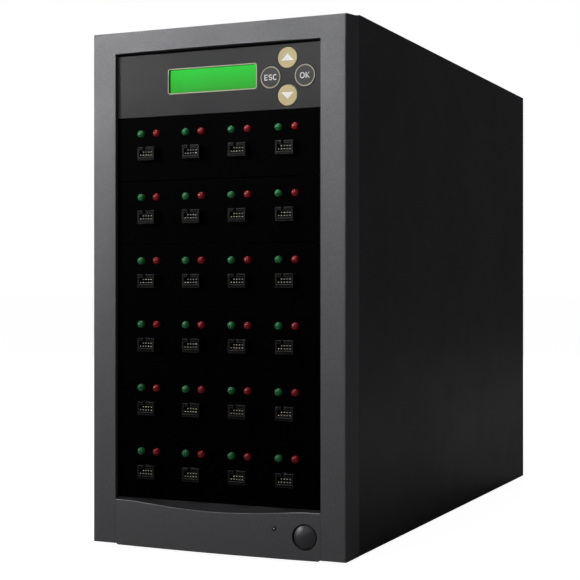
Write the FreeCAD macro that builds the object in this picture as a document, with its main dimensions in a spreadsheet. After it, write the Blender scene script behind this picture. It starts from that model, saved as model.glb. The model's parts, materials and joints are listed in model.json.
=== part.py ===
import FreeCAD, Part
import math
import os

import Sketcher
from FreeCAD import Placement, Rotation, Vector

# A tower duplicator for drives that plug into nine-pin headers.
# X runs to the right, Y from the front to the back, Z up, in millimetres.
# The origin lies on the floor under the middle of the whole object.
# Places below are counted from the bezel's flat front face and from the underside of the steel shell.

SIZES = {
    # steel shell
    "bay_width": 149.6,
    "stile_width": 17.3,
    "case_depth": 440.0,
    "roof_step": 3.0,
    "steel_gauge": 0.8,
    "shell_gap": 0.1,
    "edge_fold": 12.0,
    "rear_fold": 14.0,
    "pan_slot_width": 60.0,
    "pan_slot_length": 4.0,
    "pan_slot_pitch": 12.0,
    "pan_slot_count": 6,
    "pan_slot_start": 210.0,
    # feet
    "foot_height": 3.0,
    "foot_radius": 8.0,
    "foot_inset_side": 32.0,
    "foot_inset_end": 45.0,
    # drive bays
    "bay_floor": 31.0,
    "bay_pitch": 42.35,
    "port_rows": 6,
    "top_gap": 1.2,
    "rail_gap": 0.3,
    "rail_length": 170.0,
    "rail_flange": 13.0,
    "ledge_reach": 6.0,
    "ledge_start": 40.0,
    "ledge_length": 60.0,
    "rail_slot_height": 3.4,
    "rail_slot_length": 8.0,
    "rail_slot_start": 18.0,
    # bezel
    "top_rail_height": 14.25,
    "bezel_depth": 23.0,
    "bezel_wall": 2.5,
    "bezel_rise": 2.0,
    "bezel_edge_radius": 1.25,
    "front_bulge": 2.4,
    "seam_gap": 0.3,
    "hook_thickness": 1.6,
    "hook_height": 10.0,
    "hook_reach": 4.0,
    "hook_end_inset": 20.0,
    "hook_clearance": 0.3,
    # lower bezel
    "lower_depth": 8.0,
    "lower_gap": 0.15,
    "lower_lip": 0.8,
    "lower_corner": 1.6,
    "lower_head": 9.2,
    # power button, its switch and its lamp
    "button_x": 64.0,
    "button_z": 14.0,
    "button_radius": 7.75,
    "button_gap": 0.65,
    "button_sleeve": 1.6,
    "button_dome": 2.2,
    "button_wall": 1.6,
    "button_flange": 1.8,
    "button_flange_depth": 1.2,
    "button_travel": 3.0,
    "button_stem_radius": 3.0,
    "plunger_radius": 2.5,
    "plunger_reach": 3.6,
    "plunger_clearance": 0.08,
    "switch_size": 13.0,
    "switch_length": 12.0,
    "switch_flange": 2.5,
    "switch_flange_depth": 1.5,
    "power_lamp_x": 43.3,
    "power_lamp_z": 18.3,
    "power_lamp_radius": 1.5,
    "power_lamp_dome": 0.15,
    "power_lamp_sink": 0.5,
    "power_lamp_gap": 0.1,
    "power_lamp_wall": 1.4,
    # panels that close the bays
    "panel_recess": 2.6,
    "panel_thickness": 2.8,
    "panel_gap": 0.5,
    "panel_side_gap": 0.3,
    "ear_thickness": 1.6,
    "ear_height": 30.0,
    "ear_length": 30.0,
    # port boards
    "board_thickness": 1.6,
    "board_stand": 1.0,
    "port_board_width": 138.0,
    "port_board_height": 36.0,
    "board_rib_width": 5.0,
    "hub_chip_size": 10.0,
    "hub_chip_height": 1.2,
    # ports
    "ports_per_row": 4,
    "port_pitch": 33.6,
    "port_drop": 24.3,
    "header_width": 12.4,
    "header_height": 8.8,
    "header_wall": 2.0,
    "header_end_wall": 1.2,
    "header_floor": 1.6,
    "header_reach": 4.5,
    "header_gap": 0.2,
    "notch_width": 2.2,
    "notch_depth": 4.5,
    "pin_pitch": 2.0,
    "pin_columns": 5,
    "pin_width": 0.5,
    "pin_recess": 0.5,
    # lamps beside the ports
    "lamp_spacing": 11.7,
    "lamp_drop": 11.0,
    "lamp_radius": 2.5,
    "lamp_gap": 0.15,
    "lamp_reach": 2.6,
    # control panel
    "screen_x": -3.3,
    "screen_rise": 1.7,
    "screen_width": 64.0,
    "screen_height": 15.6,
    "screen_corner": 1.2,
    "glass_margin": 0.4,
    "glass_depth": 2.0,
    "glass_step": 0.5,
    "screen_frame_width": 67.6,
    "screen_frame_height": 24.0,
    "screen_frame_depth": 5.6,
    "screen_board_height": 36.0,
    "keys_x": 51.1,
    "key_offset": 12.0,
    "arrow_key_radius": 6.9,
    "word_key_radius": 7.2,
    "key_gap": 0.2,
    "key_proud": 0.4,
    "key_flange": 0.9,
    "key_flange_depth": 1.0,
    "key_flange_gap": 0.1,
    "key_post_radius": 1.6,
    "key_post_length": 2.5,
    "key_travel": 0.5,
    "key_switch_size": 6.0,
    "key_switch_height": 3.5,
    "key_switch_overlap": 0.4,
    "key_well_gap": 0.3,
    "key_well_spare": 0.4,
    "key_board_size": 35.0,
    "key_pillar": 4.0,
    "key_pillar_offset": 14.5,
    # controller board and cables
    "controller_width": 145.0,
    "controller_start": 30.0,
    "controller_length": 150.0,
    "controller_chip": 28.0,
    "controller_chip_height": 9.0,
    "ribbon_width": 25.0,
    "ribbon_thickness": 1.0,
    "ribbon_lap": 10.0,
    "power_lead_radius": 3.0,
    # power supply
    "psu_width": 150.0,
    "psu_height": 86.0,
    "psu_depth": 140.0,
    "psu_gauge": 1.0,
    "psu_headroom": 1.0,
    "psu_window_lip": 3.0,
    "psu_corner_tab": 12.0,
    "psu_fan_x": 25.0,
    "psu_slot_height": 4.0,
    "psu_slot_pitch": 8.0,
    "psu_slot_count": 8,
    "psu_slot_width": 66.0,
    "psu_board_stand": 4.0,
    "psu_board_margin": 8.0,
    "psu_board_length": 95.0,
    "transformer_size": 32.0,
    "heatsink_thickness": 4.0,
    "heatsink_height": 50.0,
    # mains inlet, IEC 60320 C14
    "inlet_x": -48.0,
    "inlet_rise": 14.0,
    "inlet_flange_width": 31.0,
    "inlet_flange_height": 23.0,
    "inlet_flange_depth": 2.0,
    "inlet_body_width": 27.0,
    "inlet_body_height": 19.4,
    "inlet_body_depth": 18.0,
    "inlet_mouth_width": 24.2,
    "inlet_mouth_height": 16.4,
    "inlet_mouth_depth": 17.0,
    "inlet_corner": 5.0,
    "inlet_pin_width": 4.0,
    "inlet_pin_thickness": 2.0,
    "inlet_pin_length": 13.5,
    "inlet_pin_spread": 7.0,
    "inlet_earth_rise": 4.0,
    "inlet_drop": 0.5,
    # rocker switch
    "rocker_drop": 21.0,
    "rocker_frame_width": 21.0,
    "rocker_frame_height": 15.0,
    "rocker_flange_depth": 1.5,
    "rocker_body_width": 18.6,
    "rocker_body_height": 12.8,
    "rocker_body_depth": 14.0,
    "rocker_mouth_width": 17.2,
    "rocker_mouth_height": 10.8,
    "rocker_mouth_depth": 11.0,
    "rocker_half_length": 7.6,
    "rocker_thickness": 10.2,
    "rocker_tip_height": 3.2,
    "rocker_middle_height": 1.6,
    "rocker_keel": 4.0,
    "rocker_pivot_radius": 1.0,
    "rocker_pivot_reach": 0.7,
    "rocker_pivot_gap": 0.06,
    "rocker_pivot_inset": 0.5,
    "rocker_tilt": 11.0,
    # fans
    "fan_size": 80.0,
    "fan_depth": 25.0,
    "fan_bore": 38.2,
    "fan_hole_spacing": 71.5,
    "fan_strut_width": 4.0,
    "fan_strut_depth": 3.0,
    "fan_mount_radius": 16.0,
    "fan_bearing_radius": 4.0,
    "fan_bearing_length": 13.0,
    "fan_shaft_radius": 1.5,
    "fan_shaft_length": 14.0,
    "fan_shaft_gap": 0.08,
    "rotor_hub_radius": 15.5,
    "rotor_hub_wall": 3.5,
    "rotor_hub_face": 2.0,
    "rotor_hub_length": 16.0,
    "rotor_inset": 3.0,
    "rotor_reach": 35.5,
    "blade_root": 13.5,
    "blade_chord": 19.0,
    "blade_rake": 13.0,
    "blade_thickness": 1.6,
    "blade_centre": 8.0,
    "blade_count": 7,
    "rear_fan_drop": 15.0,
    "guard_thickness": 1.5,
    "guard_bar": 1.8,
    "guard_ring_count": 3,
    "guard_outer_radius": 39.0,
    "guard_ring_step": 10.5,
    "guard_eyelet_radius": 4.0,
    # rear openings and screws
    "vent_width": 90.0,
    "vent_height": 4.0,
    "vent_pitch": 9.0,
    "vent_count": 8,
    "vent_drop": 24.0,
    "thumb_head_radius": 5.0,
    "thumb_head_length": 6.0,
    "thumb_shank_radius": 1.9,
    "thumb_shank_length": 5.0,
    "thumb_hole_gap": 0.2,
    "thumb_end_inset": 40.0,
    "screw_head_radius": 3.2,
    "screw_head_length": 2.0,
}

# Flats in place of a round wall, on what repeats or lies out of sight.
SMALL_SIDES = 8
MEDIUM_SIDES = 12
KEY_SIDES = 24
FAN_SIDES = 28
RING_SIDES = 16


# ---- sizes that carry their expression -------------------------------------------------------


class Size:
    """A length and the expression that takes it from the sheet."""

    def __init__(self, value, text):
        self.value = value
        self.text = text

    def __add__(self, other):
        other = sized(other)
        return Size(self.value + other.value, f"({self.text} + {other.text})")

    def __radd__(self, other):
        return sized(other) + self

    def __sub__(self, other):
        other = sized(other)
        return Size(self.value - other.value, f"({self.text} - {other.text})")

    def __rsub__(self, other):
        return sized(other) - self

    def __mul__(self, other):
        other = sized(other)
        return Size(self.value * other.value, f"({self.text} * {other.text})")

    def __rmul__(self, other):
        return sized(other) * self

    def __truediv__(self, other):
        other = sized(other)
        return Size(self.value / other.value, f"({self.text} / {other.text})")

    def __neg__(self):
        return Size(-self.value, f"(0 - {self.text})")


def sized(thing):
    """Makes a plain number a Size too."""
    if isinstance(thing, Size):
        return thing
    return Size(float(thing), f"({float(thing):.9f})")


class Sheet:
    """The document's spreadsheet, each alias read as a Size."""

    def __init__(self, document):
        self.cells = document.addObject("Spreadsheet::Sheet", "Sizes")
        for row, (name, value) in enumerate(SIZES.items(), start=1):
            self.cells.set(f"A{row}", name)
            self.cells.set(f"B{row}", str(value))
            self.cells.setAlias(f"B{row}", name)
        document.recompute()

    def __getattr__(self, name):
        return Size(float(self.cells.get(name)), f"Sizes.{name}")


doc = FreeCAD.newDocument("DriveDuplicator")
s = Sheet(doc)
PARTS = []  # the sub-parts, in the order they are made

# Places that several sub-parts share.
ROWS = int(s.port_rows.value)
HALF_WIDTH = s.bay_width / 2 + s.stile_width
HALF_BAY = s.bay_width / 2
INNER_HALF = HALF_WIDTH - s.steel_gauge
CORE_HALF = INNER_HALF - s.shell_gap
BAYS_TOP = s.bay_floor + (s.port_rows + 1) * s.bay_pitch + s.top_gap
BEZEL_HEIGHT = BAYS_TOP + s.top_rail_height
CASE_HEIGHT = BEZEL_HEIGHT + s.roof_step
FRONT = -(s.case_depth + s.thumb_head_length - s.front_bulge) / 2
CAGE_FRONT = s.bezel_depth + s.steel_gauge
REAR_INSIDE = s.case_depth - 2 * s.steel_gauge
REAR_OUTSIDE = s.case_depth - s.steel_gauge
PANEL_BACK = s.panel_recess + s.panel_thickness
BOARD_FRONT = PANEL_BACK + s.board_stand
PANEL_HALF = HALF_BAY - s.panel_side_gap
CONTROL_MIDDLE = s.bay_floor + (s.port_rows + 0.5) * s.bay_pitch
PSU_LOW = CASE_HEIGHT - s.steel_gauge - s.psu_headroom - s.psu_height
PSU_MIDDLE = PSU_LOW + s.psu_height / 2
REAR_FAN_Z = PSU_LOW - s.rear_fan_drop - s.fan_size / 2
KEY_SWITCH_FRONT = (
    PANEL_BACK + s.key_flange_gap + s.key_flange_depth + s.key_post_length - s.key_switch_overlap
)
KEY_BOARD_FRONT = KEY_SWITCH_FRONT + s.key_switch_height
CONTROLLER_LOW = s.bay_floor + s.port_rows * s.bay_pitch + s.steel_gauge
CONTROLLER_TOP = CONTROLLER_LOW + s.board_thickness
THUMB_X = INNER_HALF - s.rear_fold / 2


# ---- small tools -----------------------------------------------------------------------------


def bind(thing, where, size):
    """Binds a property to the sheet."""
    thing.setExpression(where, sized(size).text)


def place(thing, x=0, y=0, z=0):
    """Puts a piece at a place counted from the bezel's front face and the shell's underside."""
    bind(thing, ".Placement.Base.x", x)
    bind(thing, ".Placement.Base.y", FRONT + y)
    bind(thing, ".Placement.Base.z", s.foot_height + z)


def sub_part(thing, label):
    """Names a finished sub-part and keeps it for the export."""
    thing.Label = label
    PARTS.append(thing)
    return thing


def origin_part(body, role):
    """The body's own origin plane or axis with this role."""
    for feature in body.Origin.OriginFeatures:
        if feature.Role == role:
            return feature
    raise ValueError(role)


def new_body(label, x=0, y=0, z=0):
    body = doc.addObject("PartDesign::Body", label)
    place(body, x, y, z)
    return sub_part(body, label)


def new_sketch(body, role="XZ_Plane", offset=0):
    """An empty sketch on one of the body's planes, moved along that plane's normal."""
    sketch = body.newObject("Sketcher::SketchObject", body.Name + "_sketch")
    sketch.AttachmentSupport = (origin_part(body, role), [""])
    sketch.MapMode = "FlatFace"
    bind(sketch, ".AttachmentOffset.Base.z", offset)
    return sketch


def held_at(index, end, place_on_sheet):
    """Constraints that hold one end of a line or arc, or a circle's centre, at a sized place."""
    kinds = ("DistanceX", "DistanceY")
    return [
        (Sketcher.Constraint(kind, -1, 1, index, end, size.value), size)
        for kind, size in zip(kinds, place_on_sheet)
    ]


def constrain(sketch, pairs):
    """Adds (constraint, size) pairs at one go, then binds those that have a size."""
    numbers = sketch.addConstraint([constraint for constraint, _ in pairs])
    for number, (_, size) in zip(numbers, pairs):
        if size is not None:
            bind(sketch, f"Constraints[{number}]", size)


def arc_radius(start, stop, rise):
    """The radius of an arc between two sized points that stands this far off its chord."""
    run = stop[0] - start[0]
    climb = stop[1] - start[1]
    size = (run * run + climb * climb) / (8 * rise) + rise / 2
    return Size(abs(size.value), f"abs({size.text})")


def outline(sketch, points, arcs=None):
    """Draws a closed outline. arcs maps a side's number to its rise, positive to the right of travel."""
    arcs = arcs or {}
    points = [(sized(u), sized(v)) for u, v in points]
    sides = list(zip(points, points[1:] + points[:1]))
    drawn = []
    for number, (start, stop) in enumerate(sides):
        a = Vector(start[0].value, start[1].value, 0)
        b = Vector(stop[0].value, stop[1].value, 0)
        if number in arcs:
            along = (b - a).normalize()
            middle = (a + b) * 0.5 + Vector(along.y, -along.x, 0) * sized(arcs[number]).value
            drawn.append(Part.Arc(a, middle, b))
        else:
            drawn.append(Part.LineSegment(a, b))
    indices = sketch.addGeometry(drawn)
    ends = [(1, 2)] * len(sides)
    pairs = []
    for number, rise in arcs.items():
        start, stop = sides[number]
        radius = arc_radius(start, stop, sized(rise))
        pairs.append((Sketcher.Constraint("Radius", indices[number], radius.value), radius))
        a = Vector(start[0].value, start[1].value, 0)
        if (sketch.Geometry[indices[number]].StartPoint - a).Length > 1e-6:
            ends[number] = (2, 1)
    for number, index in enumerate(indices):
        following = (number + 1) % len(sides)
        joined = Sketcher.Constraint(
            "Coincident", index, ends[number][1], indices[following], ends[following][0]
        )
        pairs.append((joined, None))
        pairs.extend(held_at(index, ends[number][0], points[number]))
    constrain(sketch, pairs)


def rectangle(sketch, left, right, low, high):
    outline(sketch, [(left, low), (right, low), (right, high), (left, high)])


def circle(sketch, u, v, radius):
    u, v, radius = sized(u), sized(v), sized(radius)
    index = sketch.addGeometry(Part.Circle(Vector(u.value, v.value, 0), Vector(0, 0, 1), radius.value))
    size = (Sketcher.Constraint("Radius", index, radius.value), radius)
    constrain(sketch, [size] + held_at(index, 3, (u, v)))


def many_sided(sketch, u, v, radius, sides):
    """A regular outline whose corners lie on a circle."""
    corners = []
    for number in range(sides):
        turn = 2 * math.pi * (number + 0.5) / sides
        corners.append((u + radius * math.cos(turn), v + radius * math.sin(turn)))
    outline(sketch, corners)


def pad(body, sketch, length, backward=False):
    """Adds material along the sketch's normal, or backward against it."""
    feature = body.newObject("PartDesign::Pad", body.Name + "_pad")
    feature.Profile = sketch
    bind(feature, "Length", length)
    feature.Reversed = backward
    body.Tip = feature
    return feature


def pocket(body, sketch, depth=None, forward=False):
    """Cuts against the sketch's normal, or forward along it, right through when no depth is given."""
    feature = body.newObject("PartDesign::Pocket", body.Name + "_pocket")
    feature.Profile = sketch
    if depth is None:
        feature.Type = "ThroughAll"
    else:
        bind(feature, "Length", depth)
    feature.Reversed = forward
    body.Tip = feature
    return feature


def row_pattern(body, features, axis, count, spacing, backward=False):
    """Repeats features in a row along one of the body's axes."""
    feature = body.newObject("PartDesign::LinearPattern", body.Name + "_row")
    feature.Originals = features
    feature.Direction = (origin_part(body, axis), [""])
    feature.Reversed = backward
    bind(feature, "Length", (count - 1) * spacing)
    bind(feature, "Occurrences", count)
    body.Tip = feature
    return feature


def box(x, y, z, width, depth, height):
    """A box from its left, front and low corner."""
    made = doc.addObject("Part::Box", "Block")
    bind(made, "Length", width)
    bind(made, "Width", depth)
    bind(made, "Height", height)
    place(made, x, y, z)
    return made


def rod(x, y, z, radius, length):
    """A cylinder that runs to the back from its front end's centre."""
    made = doc.addObject("Part::Cylinder", "Rod")
    bind(made, "Radius", radius)
    bind(made, "Height", length)
    made.Placement = Placement(Vector(0, 0, 0), Rotation(Vector(1, 0, 0), -90))
    place(made, x, y, z)
    return made


def domed(piece, x, y, z, radius, rise):
    """Rounds the front end of a piece on this axis to a spherical cap of this rise."""
    sphere = doc.addObject("Part::Sphere", "Sphere")
    reach = (radius * radius + rise * rise) / (2 * rise)
    bind(sphere, "Radius", reach)
    place(sphere, x, y + reach, z)
    made = doc.addObject("Part::Common", "Domed")
    made.Base = piece
    made.Tool = sphere
    return made


def prism(x, y, z, radius, length, sides):
    """A many-sided bar that runs to the back from its front end's centre."""
    made = doc.addObject("Part::Prism", "Prism")
    made.Polygon = sides
    bind(made, "Circumradius", radius)
    bind(made, "Height", length)
    made.Placement = Placement(Vector(0, 0, 0), Rotation(Vector(1, 0, 0), -90))
    place(made, x, y, z)
    return made


def fused(pieces):
    made = doc.addObject("Part::MultiFuse", "Joined")
    made.Shapes = pieces
    return made


def cut(base, tool):
    made = doc.addObject("Part::Cut", "Cut")
    made.Base = base
    made.Tool = tool
    return made


def group(label, pieces):
    """Separate solids that share one node."""
    made = doc.addObject("Part::Compound", label)
    made.Links = pieces
    return sub_part(made, label)


# ---- steel shell -----------------------------------------------------------------------------


def folded_sheet(label, low, high, fold_end):
    """A sheet between the front plate and the rear panel with both side edges folded over."""
    body = new_body(label, y=CAGE_FRONT)
    sketch = new_sketch(body)
    inner = CORE_HALF - s.steel_gauge
    inner_level = high if fold_end.value > high.value else low
    outer_level = low if fold_end.value > high.value else high
    outline(
        sketch,
        [
            (-CORE_HALF, outer_level),
            (CORE_HALF, outer_level),
            (CORE_HALF, fold_end),
            (inner, fold_end),
            (inner, inner_level),
            (-inner, inner_level),
            (-inner, fold_end),
            (-CORE_HALF, fold_end),
        ],
    )
    pad(body, sketch, REAR_INSIDE - CAGE_FRONT, backward=True)
    return body


def base_pan():
    body = folded_sheet("base_pan", sized(0), s.steel_gauge, s.edge_fold)
    slots = new_sketch(body, "XY_Plane")
    start = s.pan_slot_start - CAGE_FRONT
    half = s.pan_slot_width / 2
    rectangle(slots, -half, half, start, start + s.pan_slot_length)
    slot = pocket(body, slots, s.steel_gauge, forward=True)
    row_pattern(body, [slot], "Y_Axis", s.pan_slot_count, s.pan_slot_pitch)


def top_cover():
    folded_sheet("top_cover", CASE_HEIGHT - s.steel_gauge, CASE_HEIGHT, CASE_HEIGHT - s.edge_fold)


def side_panel(label, side):
    """An outer cover with its rear edge folded in behind the rear panel."""
    body = new_body(label)
    sketch = new_sketch(body, "XY_Plane")
    front = s.bezel_depth + s.seam_gap
    fold = INNER_HALF - s.rear_fold
    outline(
        sketch,
        [
            (side * HALF_WIDTH, front),
            (side * HALF_WIDTH, s.case_depth),
            (side * fold, s.case_depth),
            (side * fold, REAR_OUTSIDE),
            (side * INNER_HALF, REAR_OUTSIDE),
            (side * INNER_HALF, front),
        ],
    )
    pad(body, sketch, CASE_HEIGHT)
    holes = new_sketch(body, offset=-s.case_depth)
    for z in (s.thumb_end_inset, CASE_HEIGHT - s.thumb_end_inset):
        many_sided(holes, side * THUMB_X, z, s.thumb_shank_radius + s.thumb_hole_gap, SMALL_SIDES)
    pocket(body, holes, s.steel_gauge, forward=True)


def rear_panel():
    body = new_body("rear_panel", y=REAR_INSIDE)
    sketch = new_sketch(body)
    rectangle(sketch, -CORE_HALF, CORE_HALF, 0, CASE_HEIGHT)
    half = s.psu_width / 2 - s.psu_window_lip
    low = PSU_LOW + s.psu_window_lip
    high = PSU_LOW + s.psu_height - s.psu_window_lip
    tab = s.psu_corner_tab - s.psu_window_lip
    outline(
        sketch,
        [
            (-half + tab, low),
            (half - tab, low),
            (half - tab, low + tab),
            (half, low + tab),
            (half, high - tab),
            (half - tab, high - tab),
            (half - tab, high),
            (-half + tab, high),
            (-half + tab, high - tab),
            (-half, high - tab),
            (-half, low + tab),
            (-half + tab, low + tab),
        ],
    )
    many_sided(sketch, 0, REAR_FAN_Z, s.fan_bore, FAN_SIDES)
    for x in (-THUMB_X, THUMB_X):
        for z in (s.thumb_end_inset, CASE_HEIGHT - s.thumb_end_inset):
            many_sided(sketch, x, z, s.thumb_shank_radius + s.thumb_hole_gap, SMALL_SIDES)
    pad(body, sketch, s.steel_gauge, backward=True)
    vents = new_sketch(body)
    top = REAR_FAN_Z - s.fan_size / 2 - s.vent_drop
    rectangle(vents, -s.vent_width / 2, s.vent_width / 2, top - s.vent_height, top)
    vent = pocket(body, vents, s.steel_gauge)
    row_pattern(body, [vent], "Z_Axis", s.vent_count, s.vent_pitch, backward=True)


def hook_levels():
    """The middles of the bezel's hooks, counted up from the underside."""
    return (s.hook_end_inset, BEZEL_HEIGHT / 2, BEZEL_HEIGHT - s.hook_end_inset)


def front_plate():
    """The steel plate that the bezel hooks on to and the bay rails stand behind."""
    body = new_body("front_plate", y=s.bezel_depth)
    sketch = new_sketch(body)
    rectangle(sketch, -CORE_HALF, CORE_HALF, 0, CASE_HEIGHT)
    pad(body, sketch, s.steel_gauge, backward=True)
    openings = new_sketch(body)
    rectangle(openings, -HALF_BAY, HALF_BAY, s.bay_floor, BAYS_TOP)
    half = s.switch_size / 2 + s.shell_gap
    rectangle(
        openings, s.button_x - half, s.button_x + half, s.button_z - half, s.button_z + half
    )
    pocket(body, openings)
    notches = new_sketch(body)
    inner = CORE_HALF - s.hook_thickness - s.hook_clearance
    reach = s.hook_height / 2 + s.hook_clearance
    for z in hook_levels():
        rectangle(notches, inner, HALF_WIDTH, z - reach, z + reach)
        rectangle(notches, -HALF_WIDTH, -inner, z - reach, z + reach)
    pocket(body, notches)


def bay_rail(label, side):
    """One wall of the bay cage, with a ledge and a screw slot in every bay."""
    body = new_body(label, y=CAGE_FRONT)
    inner = HALF_BAY + s.rail_gap
    outer = inner + s.steel_gauge
    flange = outer + s.rail_flange
    sketch = new_sketch(body, "XY_Plane", s.steel_gauge)
    outline(
        sketch,
        [
            (side * inner, 0),
            (side * flange, 0),
            (side * flange, s.steel_gauge),
            (side * outer, s.steel_gauge),
            (side * outer, s.rail_length - s.steel_gauge),
            (side * flange, s.rail_length - s.steel_gauge),
            (side * flange, s.rail_length),
            (side * inner, s.rail_length),
        ],
    )
    pad(body, sketch, CASE_HEIGHT - 2 * s.steel_gauge)
    ledge_sketch = new_sketch(body, "XY_Plane", s.bay_floor)
    ledge_end = s.ledge_start + s.ledge_length
    near, far = side * (inner - s.ledge_reach), side * inner
    rectangle(ledge_sketch, near, far, s.ledge_start, ledge_end)
    ledge = pad(body, ledge_sketch, s.steel_gauge)
    slots = new_sketch(body, "YZ_Plane", side * outer)
    level = s.bay_floor + s.bay_pitch / 2
    rectangle(
        slots,
        s.rail_slot_start,
        s.rail_slot_start + s.rail_slot_length,
        level - s.rail_slot_height / 2,
        level + s.rail_slot_height / 2,
    )
    slot = pocket(body, slots, s.steel_gauge, forward=side < 0)
    row_pattern(body, [ledge, slot], "Z_Axis", s.port_rows + 1, s.bay_pitch)


def rubber_feet():
    feet = []
    for x in (-HALF_WIDTH + s.foot_inset_side, HALF_WIDTH - s.foot_inset_side):
        for y in (s.foot_inset_end, s.case_depth - s.foot_inset_end):
            foot = doc.addObject("Part::Prism", "Foot")
            foot.Polygon = MEDIUM_SIDES
            bind(foot, "Circumradius", s.foot_radius)
            bind(foot, "Height", s.foot_height)
            place(foot, x, y, -s.foot_height)
            feet.append(foot)
    group("rubber_feet", feet)


def thumbscrews():
    """The screws that hold the side panels, each through the fold and the rear panel."""
    screws = []
    for x in (-THUMB_X, THUMB_X):
        for z in (s.thumb_end_inset, CASE_HEIGHT - s.thumb_end_inset):
            length = s.thumb_shank_length
            head = prism(
                x, s.case_depth, z, s.thumb_head_radius, s.thumb_head_length, MEDIUM_SIDES
            )
            shank = prism(
                x, s.case_depth - length, z, s.thumb_shank_radius, length, SMALL_SIDES
            )
            screws.append(fused([head, shank]))
    group("thumbscrews", screws)


def chassis_screws():
    """The heads that clamp the fan guard and the power supply to the rear panel."""
    screws = []
    reach = s.fan_hole_spacing / 2
    for x in (-reach, reach):
        for z in (REAR_FAN_Z - reach, REAR_FAN_Z + reach):
            y = REAR_OUTSIDE + s.guard_thickness
            screws.append(prism(x, y, z, s.screw_head_radius, s.screw_head_length, SMALL_SIDES))
    side = s.psu_width / 2 - s.psu_corner_tab / 2
    for x in (-side, side):
        for z in (PSU_LOW + s.psu_corner_tab / 2, PSU_LOW + s.psu_height - s.psu_corner_tab / 2):
            screws.append(
                prism(x, REAR_OUTSIDE, z, s.screw_head_radius, s.screw_head_length, SMALL_SIDES)
            )
    group("chassis_screws", screws)


# ---- plastic front ---------------------------------------------------------------------------


def bulge(body, half, low, high):
    """A gently rounded skin in front of the flat face."""
    sketch = new_sketch(body, "XY_Plane", low)
    outline(sketch, [(half, 0), (-half, 0)], arcs={1: s.front_bulge})
    return pad(body, sketch, high - low)


def edges_on(shape, test):
    """Names of the edges whose two ends both pass the test."""
    names = []
    for number, edge in enumerate(shape.Edges, start=1):
        if all(test(vertex.Point) for vertex in edge.Vertexes):
            names.append(f"Edge{number}")
    return names


def bezel_frame():
    """The moulded front: two stiles, a rounded top rail and a wall behind the lower bezel."""
    body = new_body("bezel_frame")
    side = new_sketch(body, "YZ_Plane", -HALF_WIDTH)
    outline(
        side,
        [
            (0, 0),
            (s.bezel_depth, 0),
            (s.bezel_depth, BEZEL_HEIGHT + s.bezel_rise),
            (0, BEZEL_HEIGHT),
        ],
    )
    pad(body, side, 2 * HALF_WIDTH)
    window = new_sketch(body)
    rectangle(window, -HALF_BAY, HALF_BAY, s.bay_floor, BAYS_TOP)
    pocket(body, window)
    seat = new_sketch(body)
    rectangle(seat, -HALF_BAY, HALF_BAY, -s.bezel_wall, s.bay_floor)
    pocket(body, seat, s.lower_depth)
    wall = s.bezel_wall
    outer = HALF_WIDTH - wall
    inner = HALF_BAY + wall
    hollow = new_sketch(body, offset=-s.bezel_depth)
    outline(
        hollow,
        [
            (-outer, wall),
            (-inner, wall),
            (-inner, BAYS_TOP + wall),
            (inner, BAYS_TOP + wall),
            (inner, wall),
            (outer, wall),
            (outer, BEZEL_HEIGHT - wall),
            (-outer, BEZEL_HEIGHT - wall),
        ],
    )
    pocket(body, hollow, s.bezel_depth - wall, forward=True)
    trough = new_sketch(body, offset=-s.bezel_depth)
    rectangle(trough, -HALF_BAY, HALF_BAY, wall, s.bay_floor - wall)
    pocket(body, trough, s.bezel_depth - s.lower_depth - wall, forward=True)
    doc.recompute()
    blank = body.Tip

    def outer_front(point):
        upright = abs(abs(point.x) - HALF_WIDTH.value) < 0.01
        top = abs(point.z - BEZEL_HEIGHT.value) < 0.01
        return abs(point.y) < 0.01 and (upright or top)

    rounding = body.newObject("PartDesign::Fillet", "bezel_frame_rounding")
    rounding.Base = (blank, edges_on(blank.Shape, outer_front))
    bind(rounding, "Radius", s.bezel_edge_radius)
    body.Tip = rounding
    bulge(body, HALF_BAY, BAYS_TOP, BEZEL_HEIGHT - s.bezel_edge_radius / 2)
    passage = new_sketch(body)
    reach = s.button_radius + s.button_flange + s.button_gap
    circle(passage, s.button_x, s.button_z, reach)
    pocket(body, passage)
    hooks = new_sketch(body, offset=-s.bezel_depth)
    outer_face = CORE_HALF
    inner_face = CORE_HALF - s.hook_thickness
    for z in hook_levels():
        low, high = z - s.hook_height / 2, z + s.hook_height / 2
        rectangle(hooks, inner_face, outer_face, low, high)
        rectangle(hooks, -outer_face, -inner_face, low, high)
    pad(body, hooks, s.hook_reach, backward=True)


def lower_bezel():
    """The separate foot of the bezel: bowed front, power button sleeve and lamp sleeve."""
    body = new_body("lower_bezel")
    half = HALF_BAY - s.lower_gap
    top = s.bay_floor - s.lower_gap
    face = new_sketch(body)
    rectangle(face, -half, half, -s.lower_lip, top)
    pad(body, face, s.lower_depth - s.lower_gap, backward=True)
    bulge(body, half, -s.lower_lip, top)
    corners = new_sketch(body, offset=s.front_bulge)
    low = -s.lower_lip
    for side in (-1, 1):
        outline(
            corners,
            [
                (side * half, low),
                (side * half, low + s.lower_corner),
                (side * (half - s.lower_corner), low),
            ],
        )
    pocket(body, corners)
    wall = s.bezel_wall
    hollow = new_sketch(body, offset=-(s.lower_depth - s.lower_gap))
    low_level = s.bay_floor - s.lower_head - wall
    rectangle(hollow, -half + wall, half - wall, wall - s.lower_lip, low_level)
    circle(
        hollow,
        s.button_x,
        s.button_z,
        s.button_radius + s.button_gap + s.button_sleeve,
    )
    circle(
        hollow,
        s.power_lamp_x,
        s.power_lamp_z,
        s.power_lamp_radius + s.power_lamp_gap + s.power_lamp_wall,
    )
    pocket(body, hollow, s.lower_depth - s.lower_gap - wall, forward=True)
    holes = new_sketch(body, offset=s.front_bulge)
    circle(holes, s.button_x, s.button_z, s.button_radius + s.button_gap)
    circle(holes, s.power_lamp_x, s.power_lamp_z, s.power_lamp_radius + s.power_lamp_gap)
    pocket(body, holes)


# ---- power button ----------------------------------------------------------------------------


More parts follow.
